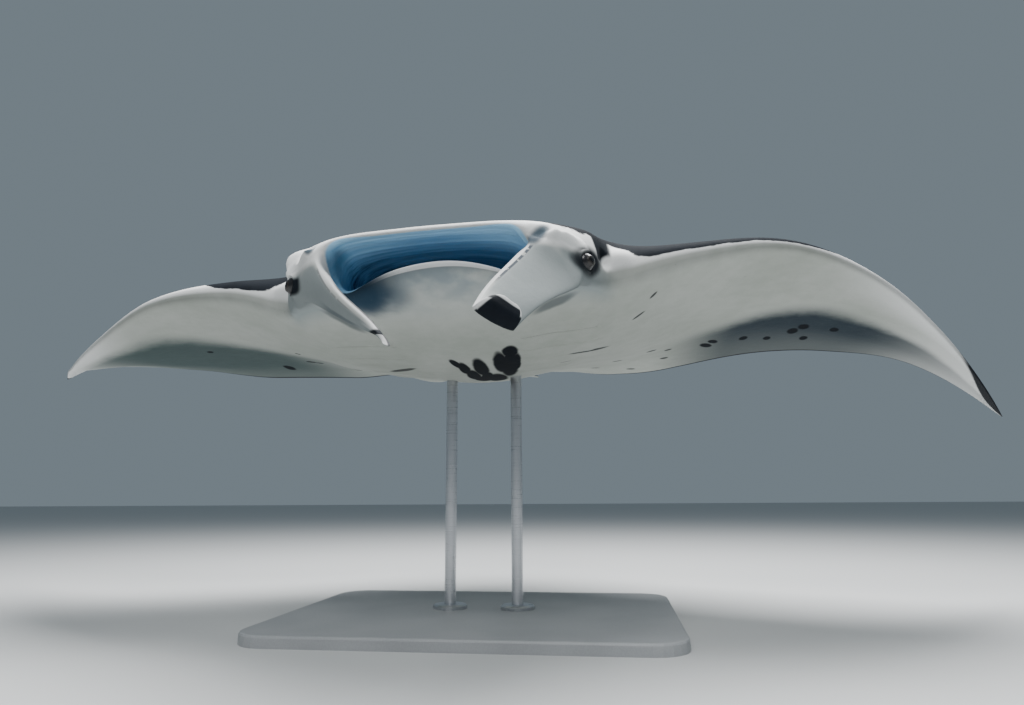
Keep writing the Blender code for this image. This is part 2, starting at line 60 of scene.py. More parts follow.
# How the ray holds itself: nose and bank in degrees about the balance point.
glide = {
    "noseTurn": -2.9,
    "bankTurn": -2.2,
    "balance": Vector((0, 0.74, 0)),
    "height": 0.875,
    "bendAt": (0, 0.12, 0.25, 0.4, 0.55, 0.7, 0.85, 1),
    "twistAt": (0, 0.12, 0.2, 0.35, 0.5, 0.65, 0.8, 0.92, 1),
    "bend": {1: (0, -2.6, 3.9, 6.0, -10.8, -22.3, -35.8, -46.4),
             -1: (0, 0.4, 6.2, 1.7, -4.9, -4.9, -11.6, -22.7)},
    "twist": {1: (0, -0.1, -0.1, -3.3, -5.3, -3.3, 4.1, 8.5, 10.7),
              -1: (0, 0.4, 4.6, -0.6, -2.3, 4.2, 13.2, 20.3, 21.1)},
    "twistLine": 0.68,
    "bendFrom": 0.27,
    "bendFull": 0.50,
    "steps": 400,
}

# Curves by distance from the midline, except the two rises, which go by share of the chord.
trunk = {
    "jawShift": 0.03,
    "upperLipY": ((0, 0), (0.165, 0.006), (0.236, 0.026), (0.284, 0.044), (0.322, 0.066), (0.352, 0.11),
                  (0.372, 0.185), (0.402, 0.262)),
    "lowerJawY": ((0, 0.012), (0.10, 0.036), (0.165, 0.078), (0.236, 0.14), (0.284, 0.125), (0.322, 0.13),
                  (0.352, 0.155), (0.372, 0.20), (0.402, 0.266)),
    "upperLipZ": ((0, 0.034), (0.165, 0.034), (0.236, 0.030), (0.284, -0.004), (0.322, -0.034),
                  (0.352, -0.040), (0.372, 0.0), (0.402, 0.030), (0.50, 0.022), (0.85, 0.008), (1.3, 0.005),
                  (1.7, 0.003)),
    "lowerJawZ": ((0, -0.040), (0.10, -0.044), (0.165, -0.052), (0.236, -0.062), (0.284, -0.072),
                  (0.322, -0.080), (0.352, -0.076), (0.372, -0.056), (0.402, -0.030), (0.50, -0.018),
                  (0.85, -0.009), (1.3, -0.005), (1.7, -0.003)),
    "rearHalf": ((0, 0.028), (0.05, 0.024), (0.10, 0.012), (0.165, 0.007), (0.4, 0.006), (1.0, 0.004),
                 (1.7, 0.002)),
    "upperDepth": ((0, 0.150), (0.17, 0.146), (0.32, 0.130), (0.40, 0.116), (0.50, 0.096), (0.646, 0.064),
                   (0.85, 0.042), (1.07, 0.028), (1.275, 0.018), (1.45, 0.011), (1.59, 0.006), (1.7, 0.003)),
    "lowerDepth": ((0, 0.152), (0.17, 0.147), (0.32, 0.125), (0.40, 0.105), (0.50, 0.08), (0.646, 0.05),
                   (0.85, 0.032), (1.07, 0.021), (1.275, 0.013), (1.45, 0.008), (1.59, 0.005), (1.7, 0.003)),
    "upperRise": ((0, 0), (0.035, 0.38), (0.095, 0.58), (0.20, 0.80), (0.36, 0.98), (0.54, 1.0),
                  (0.72, 0.80), (0.87, 0.42), (1, 0)),
    "lowerRise": ((0, 0), (0.035, 0.50), (0.095, 0.64), (0.20, 0.84), (0.36, 1.0), (0.54, 0.87),
                  (0.72, 0.52), (0.87, 0.22), (1, 0)),
    "browHeight": ((0, 0.005), (0.165, 0.006), (0.236, 0.012), (0.284, 0.011), (0.322, 0.012), (0.352, 0.022),
                   (0.372, 0.037), (0.402, 0.060), (0.50, 0.022), (0.646, 0.019), (0.85, 0.014),
                   (1.07, 0.010), (1.3, 0.004), (1.7, 0)),
    "browAlong": (0, 0.05, 0.14, 0.36),
    "keelTaper": 0.35,
    "keelAcross": (0.04, 0.24),
    "keelAlong": (0.30, 0.70),
    "rearLift": 0.06,
    "liftAlong": (0.95, 1.50),
    "liftAcross": (0.12, 0.42),
}


def curve(table, place):  # smooth value through (place, value) pairs, without overshoot
    xs, ys = np.array(table, float).T
    slopes = np.diff(ys) / np.diff(xs)
    leans = np.concatenate([slopes[:1], np.zeros(len(slopes) - 1), slopes[-1:]])
    for k in range(1, len(slopes)):
        before, after = slopes[k - 1], slopes[k]
        leans[k] = 2 * before * after / (before + after) if before * after > 0 else 0
    k = min(max(int(np.searchsorted(xs, place)) - 1, 0), len(slopes) - 1)
    width = xs[k + 1] - xs[k]
    u = min(max((place - xs[k]) / width, 0), 1)
    return float((1 + 2 * u) * (1 - u) ** 2 * ys[k] + u * (1 - u) ** 2 * width * leans[k]
                 + u * u * (3 - 2 * u) * ys[k + 1] + u * u * (u - 1) * width * leans[k + 1])


def mix(a, b, share):
    return a + (b - a) * share


def ease(low, high, place):
    u = min(max((place - low) / (high - low), 0), 1)
    return u * u * (3 - 2 * u)


def hump(places, place):  # 0 to 1 between the first two places, and back between the last two
    return ease(places[0], places[1], place) * (1 - ease(places[2], places[3], place))


def leadingY(x):
    u = max((x - disc["wingStart"]) / (disc["width"] / 2 - disc["wingStart"]), 0)
    lead = disc["lead"]
    return disc["width"] * (lead["start"] + lead["sweep"] * u ** lead["bend"])


def trailingY(x):
    trail, tip = disc["trail"], disc["tip"]
    u = min(max((x / disc["width"] - trail["flat"]) / trail["run"], 0), 1)
    v = min(max((2 * x / disc["width"] - tip["from"]) / (1 - tip["from"]), 0), 1)
    hollow = trail["hollow"] * math.sin(math.pi * u ** trail["hollowBend"])
    hollow += tip["hollow"] * math.sin(math.pi * v ** tip["hollowBend"]) ** 2
    return disc["width"] * (trail["atTip"] + trail["drop"] * (1 - u) ** trail["dropBend"] - hollow)


def shellPoint(x, share, side):  # x across, share down the chord, side 1 above and -1 below
    out = abs(x)
    rows = disc["chordRows"]
    lipY, lipZ, lipPlace = trunk["upperLipY"], trunk["upperLipZ"], out
    depth, rise, keel = trunk["upperDepth"], trunk["upperRise"], 1
    brow = curve(trunk["browHeight"], out) * hump(trunk["browAlong"], share)
    if side < 0:
        lipY, lipZ = trunk["lowerJawY"], trunk["lowerJawZ"]
        lipPlace = abs(x - trunk["jawShift"] * max(1 - (x / disc["mouthEdge"]) ** 2, 0))
        depth, rise = trunk["lowerDepth"], trunk["lowerRise"]
        brow = 0
        keel = 1 - trunk["keelTaper"] * ease(*trunk["keelAcross"], out) * ease(*trunk["keelAlong"], share)
    y = mix(leadingY(out) if out > disc["wingStart"] else curve(lipY, lipPlace), trailingY(out), share)
    edge = curve(lipZ, lipPlace) * (1 - ease(0, rows[1], share))
    hem = curve(trunk["rearHalf"], out) * ease(rows[-2], 1, share)
    z = edge + side * (curve(depth, out) * curve(rise, share) * keel + hem)
    lift = trunk["rearLift"] * ease(*trunk["liftAlong"], y) * (1 - ease(*trunk["liftAcross"], out))
    return Vector((x, y, z + brow + lift))


def wingCurve(side):  # outward and upward travel, slope and twist along the half span
    shares = np.linspace(0, 1, glide["steps"] + 1)
    slope = np.radians([curve(tuple(zip(glide["bendAt"], glide["bend"][side])), s) for s in shares])
    twist = np.radians([curve(tuple(zip(glide["twistAt"], glide["twist"][side])), s) for s in shares])
    middle = (slope[1:] + slope[:-1]) / 2
    step = disc["width"] / 2 / glide["steps"]
    out = np.concatenate([[0], np.cumsum(np.cos(middle)) * step])
    up = np.concatenate([[0], np.cumsum(np.sin(middle)) * step])
    return shares, out, up, slope, twist


wingCurves = {side: wingCurve(side) for side in (1, -1)}


def bendWing(point):
    side = 1 if point.x >= 0 else -1
    shares, out, up, slope, twist = wingCurves[side]
    share = min(abs(point.x) / (disc["width"] / 2), 1)
    turn, lean = float(np.interp(share, shares, slope)), float(np.interp(share, shares, twist))
    z = point.z + math.tan(lean) * (point.y - glide["twistLine"])
    bent = Vector((side * (float(np.interp(share, shares, out)) - z * math.sin(turn)), point.y,
                   float(np.interp(share, shares, up)) + z * math.cos(turn)))
    return point.lerp(bent, ease(glide["bendFrom"], glide["bendFull"], abs(point.x)))


def standPose():
    turn = Euler((math.radians(glide["noseTurn"]), math.radians(glide["bankTurn"]), 0), "ZYX").to_matrix()
    centre = turn @ glide["balance"]
    return Matrix.Translation((-centre.x, -centre.y, glide["height"])) @ turn.to_4x4()


# Marks carried by the cage and smoothed with it, read again by the skin's material: under is -1 above and
# 1 below, chord and lobeAcross go from the front edge to the rear, the others from the body to the end.
markNames = ("under", "chord", "mouth", "lobe", "lobeAcross", "rear")

mouth = {
    "dome": 0.9,  # how round the roof and floor are from side to side
    "rings": (
        {"back": 0.010, "wide": 0.945, "roof": 0.024, "floor": -0.044, "follow": 1, "lift": -0.008},
        {"back": 0.040, "wide": 0.94, "roof": 0.040, "floor": -0.060, "follow": 0.9, "lift": 0.004},
        {"back": 0.12, "wide": 0.92, "roof": 0.052, "floor": -0.068, "follow": 0.6, "lift": 0},
        {"back": 0.23, "wide": 0.82, "roof": 0.062, "floor": -0.082, "follow": 0.3, "lift": 0},
        {"back": 0.34, "wide": 0.60, "roof": 0.050, "floor": -0.070, "follow": 0.15, "lift": 0},
        {"back": 0.42, "wide": 0.34, "roof": 0.020, "floor": -0.040, "follow": 0.1, "lift": 0},
    ),
}

lobes = {
    "front": {
        1: ((0.220, 0.04, -0.003), (0.186, -0.04, -0.083), (0.150, -0.12, -0.156), (0.143, -0.19, -0.214)),
        -1: ((-0.237, 0.04, 0.001), (-0.165, -0.035, -0.11), (-0.082, -0.10, -0.186),
             (-0.036, -0.148, -0.238)),
    },
    "rear": {
        1: ((0.335, 0.10, -0.09), (0.296, 0.025, -0.133), (0.254, -0.06, -0.178), (0.208, -0.132, -0.247)),
        -1: ((-0.318, 0.13, -0.05), (-0.22, 0.06, -0.118), (-0.128, -0.01, -0.18), (-0.057, -0.12, -0.231)),
    },
    "shares": (0.08, 0.28, 0.5, 0.75, 1),
    "step": 0.04,
    "halfRoot": 0.016,
    "halfTip": 0.007,
    "section": (0.85, 1.0, 0.8, 0.45),
    "ends": {  # the left lobe folds back over itself, the right one narrows to a spike
        1: {"radius": 0.014, "flap": 0.033, "middle": 0.48, "edge": (0.002, 0.006, 0.008, 0.003), "rings": (
            {"turn": 60, "wide": 1, "reach": 0}, {"turn": 120, "wide": 0.96, "reach": 0},
            {"turn": 172, "wide": 0.90, "reach": 0}, {"turn": 172, "wide": 0.82, "reach": 0.4},
            {"turn": 172, "wide": 0.62, "reach": 0.8}, {"turn": 172, "wide": 0.32, "reach": 1})},
        -1: {"radius": 0.006, "flap": 0.040, "middle": 0.2, "edge": (0, 0, 0, 0),
             "aim": (0.70, -0.02, -0.71), "rings": (
            {"turn": 3, "wide": 0.85, "reach": 0.1}, {"turn": 6, "wide": 0.65, "reach": 0.25},
            {"turn": 9, "wide": 0.48, "reach": 0.42}, {"turn": 12, "wide": 0.36, "reach": 0.6},
            {"turn": 15, "wide": 0.26, "reach": 0.8}, {"turn": 18, "wide": 0.14, "reach": 1})},
    },
}

rearFins = {
    "tailRings": (
        {"y": 1.58, "wide": 0.036, "high": 0.024}, {"y": 1.66, "wide": 0.023, "high": 0.019},
        {"y": 1.80, "wide": 0.016, "high": 0.015}, {"y": 2.02, "wide": 0.011, "high": 0.011},
        {"y": 2.26, "wide": 0.008, "high": 0.008}, {"y": 2.48, "wide": 0.006, "high": 0.006},
        {"y": 2.66, "wide": 0.004, "high": 0.004},
    ),
    "tailSlope": 0.20,
    "tailThin": 0.45,  # share of its thickness that the tail loses at its sides
    "dorsalRings": (
        {"front": 1.385, "rear": 1.50, "half": 0.016, "up": 0.008},
        {"front": 1.415, "rear": 1.515, "half": 0.011, "up": 0.045},
        {"front": 1.455, "rear": 1.525, "half": 0.007, "up": 0.080},
        {"front": 1.49, "rear": 1.53, "half": 0.004, "up": 0.10},
    ),
    "pelvicRings": (
        {"back": 0.035, "inner": 0.108, "outer": 0.232, "half": 0.008},
        {"back": 0.085, "inner": 0.118, "outer": 0.222, "half": 0.006},
        {"back": 0.125, "inner": 0.138, "outer": 0.202, "half": 0.004},
    ),
    "pelvicSlope": 0.28,
    "pelvicEdge": 0.7,  # thickness at the sides as a share of the middle
}


def grow(bm, faces, rings, place, note):  # one extrusion for each ring, placed and marked vertex by vertex
    for count, ring in enumerate(rings, 1):
        made = bmesh.ops.extrude_face_region(bm, geom=faces)["geom"]
        bmesh.ops.delete(bm, geom=faces, context="FACES")
        faces = [item for item in made if isinstance(item, bmesh.types.BMFace)]
        for vert in {v for face in faces for v in face.verts}:
            vert.co = place(vert, ring)
            note(vert, count / len(rings))


def bodyCage():
    stations = disc["stations"]
    across = [-x for x in reversed(stations[1:])] + list(stations)
    last = len(disc["chordRows"]) - 1
    bm = bmesh.new()
    column, row, side = (bm.verts.layers.int.new(name) for name in ("column", "row", "side"))
    marks = {name: bm.verts.layers.float.new(name) for name in markNames}
    bmesh.ops.create_grid(bm, x_segments=len(across) - 1, y_segments=last, size=1)
    for vert in bm.verts:
        vert[column] = round((vert.co.x + 1) / 2 * (len(across) - 1))
        vert[row] = round((vert.co.y + 1) / 2 * last)
        vert[side] = 1
    under = bmesh.ops.extrude_face_region(bm, geom=bm.faces[:], use_keep_orig=True)["geom"]
    for vert in (item for item in under if isinstance(item, bmesh.types.BMVert)):
        vert[side] = -1
    for vert in bm.verts:
        vert.co = shellPoint(across[vert[column]], disc["chordRows"][vert[row]], vert[side])
        vert[marks["under"]] = -vert[side]
        vert[marks["chord"]] = disc["chordRows"][vert[row]]
    bmesh.ops.recalc_face_normals(bm, faces=bm.faces)

    def over(vert):
        return across[vert[column]]

    def strip(rows, inner, outer, sides=(1, -1)):  # faces with all these rows and sides between two stations
        return [face for face in bm.faces if {v[row] for v in face.verts} == set(rows)
                and {v[side] for v in face.verts} == set(sides) and len({v[column] for v in face.verts}) == 2
                and all(inner - 1e-6 <= over(v) <= outer + 1e-6 for v in face.verts)]

    def mouthPlace(vert, ring):
        x, up = over(vert), vert[side]
        lip = shellPoint(x, 0, up)
        half = (ring["roof"] - ring["floor"]) / 2
        dome = math.sqrt(1 - (mouth["dome"] * x / disc["mouthEdge"]) ** 2)
        inside = (ring["roof"] + ring["floor"]) / 2 + up * half * dome
        return Vector((x * ring["wide"], ring["back"] + lip.y * ring["follow"],
                       mix(inside, lip.z + up * ring["lift"], ring["follow"])))

    def mouthNote(vert, share):
        vert[marks["mouth"]] = share

    def lobeGrow(hand):
        columns = [x for x in stations if disc["mouthEdge"] <= x <= disc["lobeEdge"]]
        shares = np.linspace(0, 1, len(lobes["front"][hand]))
        front = [tuple(zip(shares, axis)) for axis in zip(*lobes["front"][hand])]
        rear = [tuple(zip(shares, axis)) for axis in zip(*lobes["rear"][hand])]
        end = lobes["ends"][hand]

        def margins(share):
            return [Vector([curve(axis, share) for axis in margin]) for margin in (front, rear)]

        def section(share):
            (f0, r0), (f1, r1) = margins(share - lobes["step"]), margins(share)
            onward = (f1 + r1 - f0 - r0).normalized()
            outward = (r1 - f1).cross(onward).normalized()
            return f1, r1 - f1, onward, outward if outward.y < 0 else -outward

        def lobePlace(vert, ring):
            index = columns.index(abs(over(vert)))
            place = index / (len(columns) - 1)
            start, width, onward, outward = section(ring["share"])
            half = mix(lobes["halfRoot"], lobes["halfTip"], ring["share"]) * lobes["section"][index]
            if ring["share"] == 1:
                start = start + onward * end["edge"][index]
            if not ring["turn"]:
                return start + width * place + outward * half * vert[side]
            turn = math.radians(ring["turn"])
            centre = start + width * mix(end["middle"], place, ring["wide"]) + outward * end["radius"]
            onward = Vector(end.get("aim", onward))
            reach = onward * math.cos(turn) + outward * math.sin(turn)
            spoke = outward * math.cos(turn) - onward * math.sin(turn)
            return centre - spoke * (end["radius"] - half * vert[side]) + reach * end["flap"] * ring["reach"]

        def lobeNote(vert, share):
            vert[marks["lobe"]] = share
            vert[marks["lobeAcross"]] = columns.index(abs(over(vert))) / (len(columns) - 1)

        rings = [{"share": share, "turn": 0} for share in lobes["shares"]]
        rings += [{"share": 1, **ring} for ring in end["rings"]]
        lower, upper = sorted((hand * disc["mouthEdge"], hand * disc["lobeEdge"]))
        grow(bm, strip((0,), lower, upper), rings, lobePlace, lobeNote)

    def tailPlace(vert, ring):
        share = over(vert) / disc["tailEdge"]
        rise = trunk["rearLift"] + rearFins["tailSlope"] * (ring["y"] - trailingY(0))
        half = ring["high"] * (1 - rearFins["tailThin"] * abs(share))
        return Vector((share * ring["wide"], ring["y"], rise + vert[side] * half))

    def dorsalPlace(vert, ring):
        y = ring["front"] if vert[row] < last else ring["rear"]
        base = shellPoint(0, y / trailingY(0), 1).z
        return Vector((over(vert) / disc["tailEdge"] * ring["half"], y, base + ring["up"]))

    def pelvicPlace(vert, ring):
        x = over(vert)
        share = (abs(x) - disc["pelvicEdge"]) / (disc["mouthEdge"] - disc["pelvicEdge"])
        edge = rearFins["pelvicEdge"] if share in (0, 1) else 1
        lift = rearFins["pelvicSlope"] * ring["back"] + ring["half"] * (vert[side] * edge - 1)
        return Vector((math.copysign(mix(ring["inner"], ring["outer"], share), x),
                       trailingY(abs(x)) + ring["back"], shellPoint(x, 1, 1).z + lift))

    def rearNote(vert, share):
        vert[marks["rear"]] = share
        vert[marks["chord"]] = 1

    grow(bm, strip((0,), -disc["mouthEdge"], disc["mouthEdge"]), mouth["rings"], mouthPlace, mouthNote)
    for hand in (1, -1):
        lobeGrow(hand)
        inner, outer = sorted((hand * disc["pelvicEdge"], hand * disc["mouthEdge"]))
        grow(bm, strip((last,), inner, outer), rearFins["pelvicRings"], pelvicPlace, rearNote)
    tailEdge = disc["tailEdge"]
    grow(bm, strip((last,), -tailEdge, tailEdge), rearFins["tailRings"], tailPlace, rearNote)
    keel = strip((last - 1, last), -tailEdge, tailEdge, (1,))
    grow(bm, keel, rearFins["dorsalRings"], dorsalPlace, rearNote)
    bmesh.ops.recalc_face_normals(bm, faces=bm.faces)
    return bm


def addObject(name, bm, look):
    mesh = bpy.data.meshes.new(name)
    bm.to_mesh(mesh)
    bm.free()
    mesh.shade_smooth()
    mesh.materials.append(look)
    obj = bpy.data.objects.new(name, mesh)
    bpy.context.scene.collection.objects.link(obj)
    return obj


def smoothed(obj, levels):  # the subdivided mesh in place of the cage
    smooth = obj.modifiers.new("smooth", "SUBSURF")
    smooth.levels = smooth.render_levels = levels
    mesh = bpy.data.meshes.new_from_object(obj.evaluated_get(bpy.context.evaluated_depsgraph_get()))
    obj.modifiers.clear()
    obj.data = mesh


eyes = {
    "centre": {1: (0.334, 0.121, -0.029), -1: (-0.316, 0.109, -0.027)},
    "axis": (0.86, -0.50, -0.02),
    "radius": 0.024,
    "segments": (48, 32),
    "cornea": 0.0022,
    "corneaFade": (22.8, 38),  # degrees from the axis
    "pit": 0.004,  # how far the skin lies behind the eyeball inside the lids
    "lidAngle": {"upper": 43, "lower": 52, "sides": 58},
    "lidThick": {"upper": 0.0065, "lower": 0.0035},
    "lidEdge": 7,  # degrees over which a lid turns in
    "lidFade": (12, 50),  # degrees past its edge where a lid starts to melt into the head, and has
    "reach": (0.0595, 0.085),  # distances over which the socket gives way to the head
}

# Shaping of the smoothed skin in the body frame: places are on the left side, hands says where they act.
sculpt = {
    "finer": (
        {"low": (0.26, -0.01, -0.11), "high": (0.43, 0.33, 0.13), "cuts": 1},  # head sides
        {"low": (0.285, 0.06, -0.075), "high": (0.38, 0.17, 0.025), "cuts": 1},  # eyes
        {"low": (0.0, 0.03, 0.0), "high": (0.23, 0.34, 0.062), "cuts": 2, "lengthwise": True},  # palate
        {"low": (0.07, 0.32, -0.22), "high": (0.39, 0.78, -0.092), "cuts": 5, "lengthwise": True},  # gills
    ),
    "pushes": (
        {"at": (0.232, 0.032, 0.016), "reach": 0.05, "hands": (1,),  # mouth corner
         "move": (-0.011, 0, 0)},
        {"at": (0.248, 0.054, 0.016), "reach": 0.030, "hands": (1,),  # left hollow
         "move": (0, 0.019, -0.010)},
        {"at": (0.275, 0.066, 0.028), "reach": 0.028, "hands": (-1,),  # right hollow
         "move": (0, 0.020, -0.014)},
        {"at": (0.325, 0.105, 0.036), "reach": 0.045, "hands": (-1,),  # right brow
         "move": (0.010, -0.006, 0.009)},
        {"at": (0.318, 0.065, -0.03), "reach": 0.034, "hands": (1, -1),  # before the eye
         "move": (-0.006, 0.004, 0)},
        {"at": (0.384, 0.222, 0.015), "reach": 0.034, "hands": (1, -1),  # behind the eye
         "move": (-0.008, 0.012, 0)},
        {"at": (0.418, 0.268, 0.026), "reach": 0.045, "hands": (1, -1),  # wing root
         "move": (0.002, -0.010, 0.004)},
        {"at": (0.352, 0.11, 0.03), "reach": 0.085, "hands": (-1,),  # head side
         "move": (0.014, 0, 0.003)},
    ),
    "ridge": {"along": ((0.264, 0.050, 0.014), (0.290, 0.060, 0.014), (0.312, 0.084, 0.016),
                        (0.334, 0.106, 0.011), (0.350, 0.122, 0.000)),
              "reach": 0.018, "high": 0.015},  # brow down to the upper lid
    "gills": (
        {"y": 0.375, "inner": 0.150, "outer": 0.375}, {"y": 0.460, "inner": 0.140, "outer": 0.370},
        {"y": 0.545, "inner": 0.130, "outer": 0.355}, {"y": 0.630, "inner": 0.120, "outer": 0.320},
        {"y": 0.705, "inner": 0.110, "outer": 0.275},
    ),
    "gill": {"bow": 0.030, "wide": 0.0045, "deep": 0.007, "flap": 0.004, "flapBack": 3, "flapWide": 2.5,
             "ends": 0.12},
    "spiracle": {"from": (0.338, 0.262), "to": (0.366, 0.286), "wide": 0.0035, "deep": 0.006},
    "palate": {"along": (0.02, 0.06, 0.27, 0.32), "from": 0.04, "spacing": 0.055, "slant": 0.22,
               "high": 0.0022, "uneven": 0.9},
}


def finer(bm, zone):  # splits the edges inside a box and its mirror image
    low, high = Vector(zone["low"]), Vector(zone["high"])

    def inside(vert):
        x, y, z = vert.co
        return low.x <= abs(x) <= high.x and low.y <= y <= high.y and low.z <= z <= high.z

    def runs(edge):
        span = edge.verts[1].co - edge.verts[0].co
        return not zone.get("lengthwise") or abs(span.y) > 2 * abs(span.x) + abs(span.z)

    edges = [edge for edge in bm.edges if all(inside(v) for v in edge.verts) and runs(edge)]
    bmesh.ops.subdivide_edges(bm, edges=edges, cuts=zone["cuts"], use_grid_fill=True)


def easeAll(low, high, values):
    u = np.clip((values - low) / (high - low), 0, 1)
    return u * u * (3 - 2 * u)


def pushed(spots):
    shift = np.zeros_like(spots)
    for push in sculpt["pushes"]:
        for hand in push["hands"]:
            mirror = np.array((hand, 1, 1))
            away = np.sum((spots - np.array(push["at"]) * mirror) ** 2, axis=1) / push["reach"] ** 2
            shift += np.clip(1 - away, 0, 1)[:, None] ** 2 * np.array(push["move"]) * mirror
    return spots + shift


def ridgeRise(spots):  # height of the ridge from the brow to the upper lid
    ridge = sculpt["ridge"]
    mirrored = np.column_stack((np.abs(spots[:, 0]), spots[:, 1:]))
    nearest = np.full(len(spots), 1.0)
    for start, end in zip(ridge["along"][:-1], ridge["along"][1:]):
        start, end = np.array(start), np.array(end)
        share = np.clip((mirrored - start) @ (end - start) / np.sum((end - start) ** 2), 0, 1)
        off = np.linalg.norm(mirrored - start - share[:, None] * (end - start), axis=1)
        nearest = np.minimum(nearest, off)
    return ridge["high"] * np.clip(1 - (nearest / ridge["reach"]) ** 2, 0, 1) ** 2


def eyeFrame(hand):  # middle, outward axis, upward and forward directions of an eye
    axis = np.array(eyes["axis"]) * (hand, 1, 1)
    axis = axis / np.linalg.norm(axis)
    up = np.array((0, 0, 1)) - axis * axis[2]
    up = up / np.linalg.norm(up)
    return np.array(eyes["centre"][hand]), axis, up, np.cross(up, axis)


def eyeSockets(spots):
    for hand in (1, -1):
        centre, axis, up, front = eyeFrame(hand)
        away = spots - centre
        far = np.linalg.norm(away, axis=1)
        tilt = np.degrees(np.arccos(np.clip(away @ axis / np.maximum(far, 1e-6), -1, 1)))
        height = away @ up
        level = np.abs(away @ front)
        lift = height / np.maximum(np.hypot(height, level), 1e-6)  # 1 above, -1 below, 0 beside
        angle, thick = eyes["lidAngle"], eyes["lidThick"]
        above, below = np.clip(lift, 0, 1) ** 2, np.clip(-lift, 0, 1) ** 2
        edge = angle["sides"] * (1 - above - below) + angle["upper"] * above + angle["lower"] * below
        rim = eyes["radius"] + thick["lower"] + (thick["upper"] - thick["lower"]) * easeAll(-0.5, 1, lift)
        inner = eyes["radius"] - eyes["pit"]
        lid = inner + (rim - inner) * easeAll(0, eyes["lidEdge"], tilt - edge)
        melt = easeAll(*eyes["lidFade"], tilt - edge)
        made = lid + (far - lid) * melt
        held = 1 - easeAll(*eyes["reach"], far)
        made = far + (made - far) * held
        spots = centre + away * (made / np.maximum(far, 1e-6))[:, None]
    return spots


def gillLines(spots, belly):  # height added along the normal, and how deep in a slit each vertex lies
    x, y = np.abs(spots[:, 0]), spots[:, 1]
    rise, deep, gill = np.zeros(len(spots)), np.zeros(len(spots)), sculpt["gill"]
    for slit in sculpt["gills"]:
        along = (x - slit["inner"]) / (slit["outer"] - slit["inner"])
        off = y - slit["y"] - gill["bow"] * np.clip(along, 0, 1) ** 2
        ends = easeAll(0, gill["ends"], along) * (1 - easeAll(1 - gill["ends"], 1, along)) * belly
        groove = np.exp(-(off / gill["wide"]) ** 2) * ends
        flap = np.exp(-((off / gill["wide"] + gill["flapBack"]) / gill["flapWide"]) ** 2) * ends
        rise += flap * gill["flap"] - groove * gill["deep"]
        deep = np.maximum(deep, groove)
    return rise, deep


def spiracleLine(spots, back):
    slit = sculpt["spiracle"]
    start, end = np.array(slit["from"]), np.array(slit["to"])
    flat = np.column_stack((np.abs(spots[:, 0]), spots[:, 1]))
    along = np.clip((flat - start) @ (end - start) / np.sum((end - start) ** 2), 0, 1)
    off = np.linalg.norm(flat - start - along[:, None] * (end - start), axis=1)
    groove = np.exp(-(off / slit["wide"]) ** 2) * back
    return -groove * slit["deep"], groove


def palateFolds(spots, roof):
    fold = sculpt["palate"]
    turn = 2 * np.pi * (spots[:, 1] - fold["from"] - fold["slant"] * spots[:, 0] ** 2) / fold["spacing"]
    turn = turn + fold["uneven"] * np.sin(1.7 * turn)
    start, full, fade, end = fold["along"]
    span = easeAll(start, full, spots[:, 1]) * (1 - easeAll(fade, end, spots[:, 1])) * roof
    wave = 0.5 + 0.5 * np.sin(turn)
    return wave ** 2 * fold["high"] * span, (1 - wave) * span


def shapeSkin(bm):
    for zone in sculpt["finer"]:
        finer(bm, zone)
    layers = {name: bm.verts.layers.float[name] for name in markNames}
    groove = bm.verts.layers.float.new("groove")
    bm.normal_update()
    spots = np.array([v.co for v in bm.verts])
    normals = np.array([v.normal for v in bm.verts])
    under, inMouth = (np.array([v[layers[name]] for v in bm.verts]) for name in ("under", "mouth"))
    outside = inMouth < 0.02
    spots = eyeSockets(pushed(spots) + normals * (ridgeRise(spots) * outside)[:, None])
    gill, gillDeep = gillLines(spots, (under > 0.9) & outside)
    hole, holeDeep = spiracleLine(spots, (under < -0.9) & outside)
    fold, foldDeep = palateFolds(spots, (under < -0.5) & (inMouth > 0.1))
    spots = spots + normals * (gill + hole + fold)[:, None]
    deep = np.maximum(np.maximum(gillDeep, holeDeep), foldDeep)
    for vert, spot, share in zip(bm.verts, spots, deep):
        vert.co = spot
        vert[groove] = share


def buildSkin(look):
    skin = addObject("manta_skin", bodyCage(), look)
    smoothed(skin, disc["subdivide"])
    bm = bmesh.new()
    bm.from_mesh(skin.data)
    shapeSkin(bm)
    place = bm.verts.layers.float_vector.new("place")
    pose = standPose()
    for vert in bm.verts:
        vert[place] = vert.co
        vert.co = pose @ bendWing(vert.co)
    bm.to_mesh(skin.data)
    bm.free()
    skin.data.shade_smooth()
    skin.data.calc_loop_triangles()
    print("skin:", len(skin.data.loop_triangles), "triangles")
    return skin


def buildEye(hand, look):
    centre, axis, up, front = eyeFrame(hand)
    bm = bmesh.new()
    place = bm.verts.layers.float_vector.new("place")
    around, down = eyes["segments"]
    bmesh.ops.create_uvsphere(bm, u_segments=around, v_segments=down, radius=eyes["radius"])
    pose = standPose()
    for vert in bm.verts:
        far, near = vert.co.length, math.degrees(vert.co.angle(Vector((0, 0, 1))))
        vert.co *= 1 + eyes["cornea"] / far * (1 - ease(*eyes["corneaFade"], near))
        vert[place] = vert.co
        local = Vector(centre) + Vector(front) * vert.co.x + Vector(up) * vert.co.y + Vector(axis) * vert.co.z
        vert.co = pose @ bendWing(local)
    bmesh.ops.recalc_face_normals(bm, faces=bm.faces)
    return addObject("manta_eye_left" if hand > 0 else "manta_eye_right", bm, look)


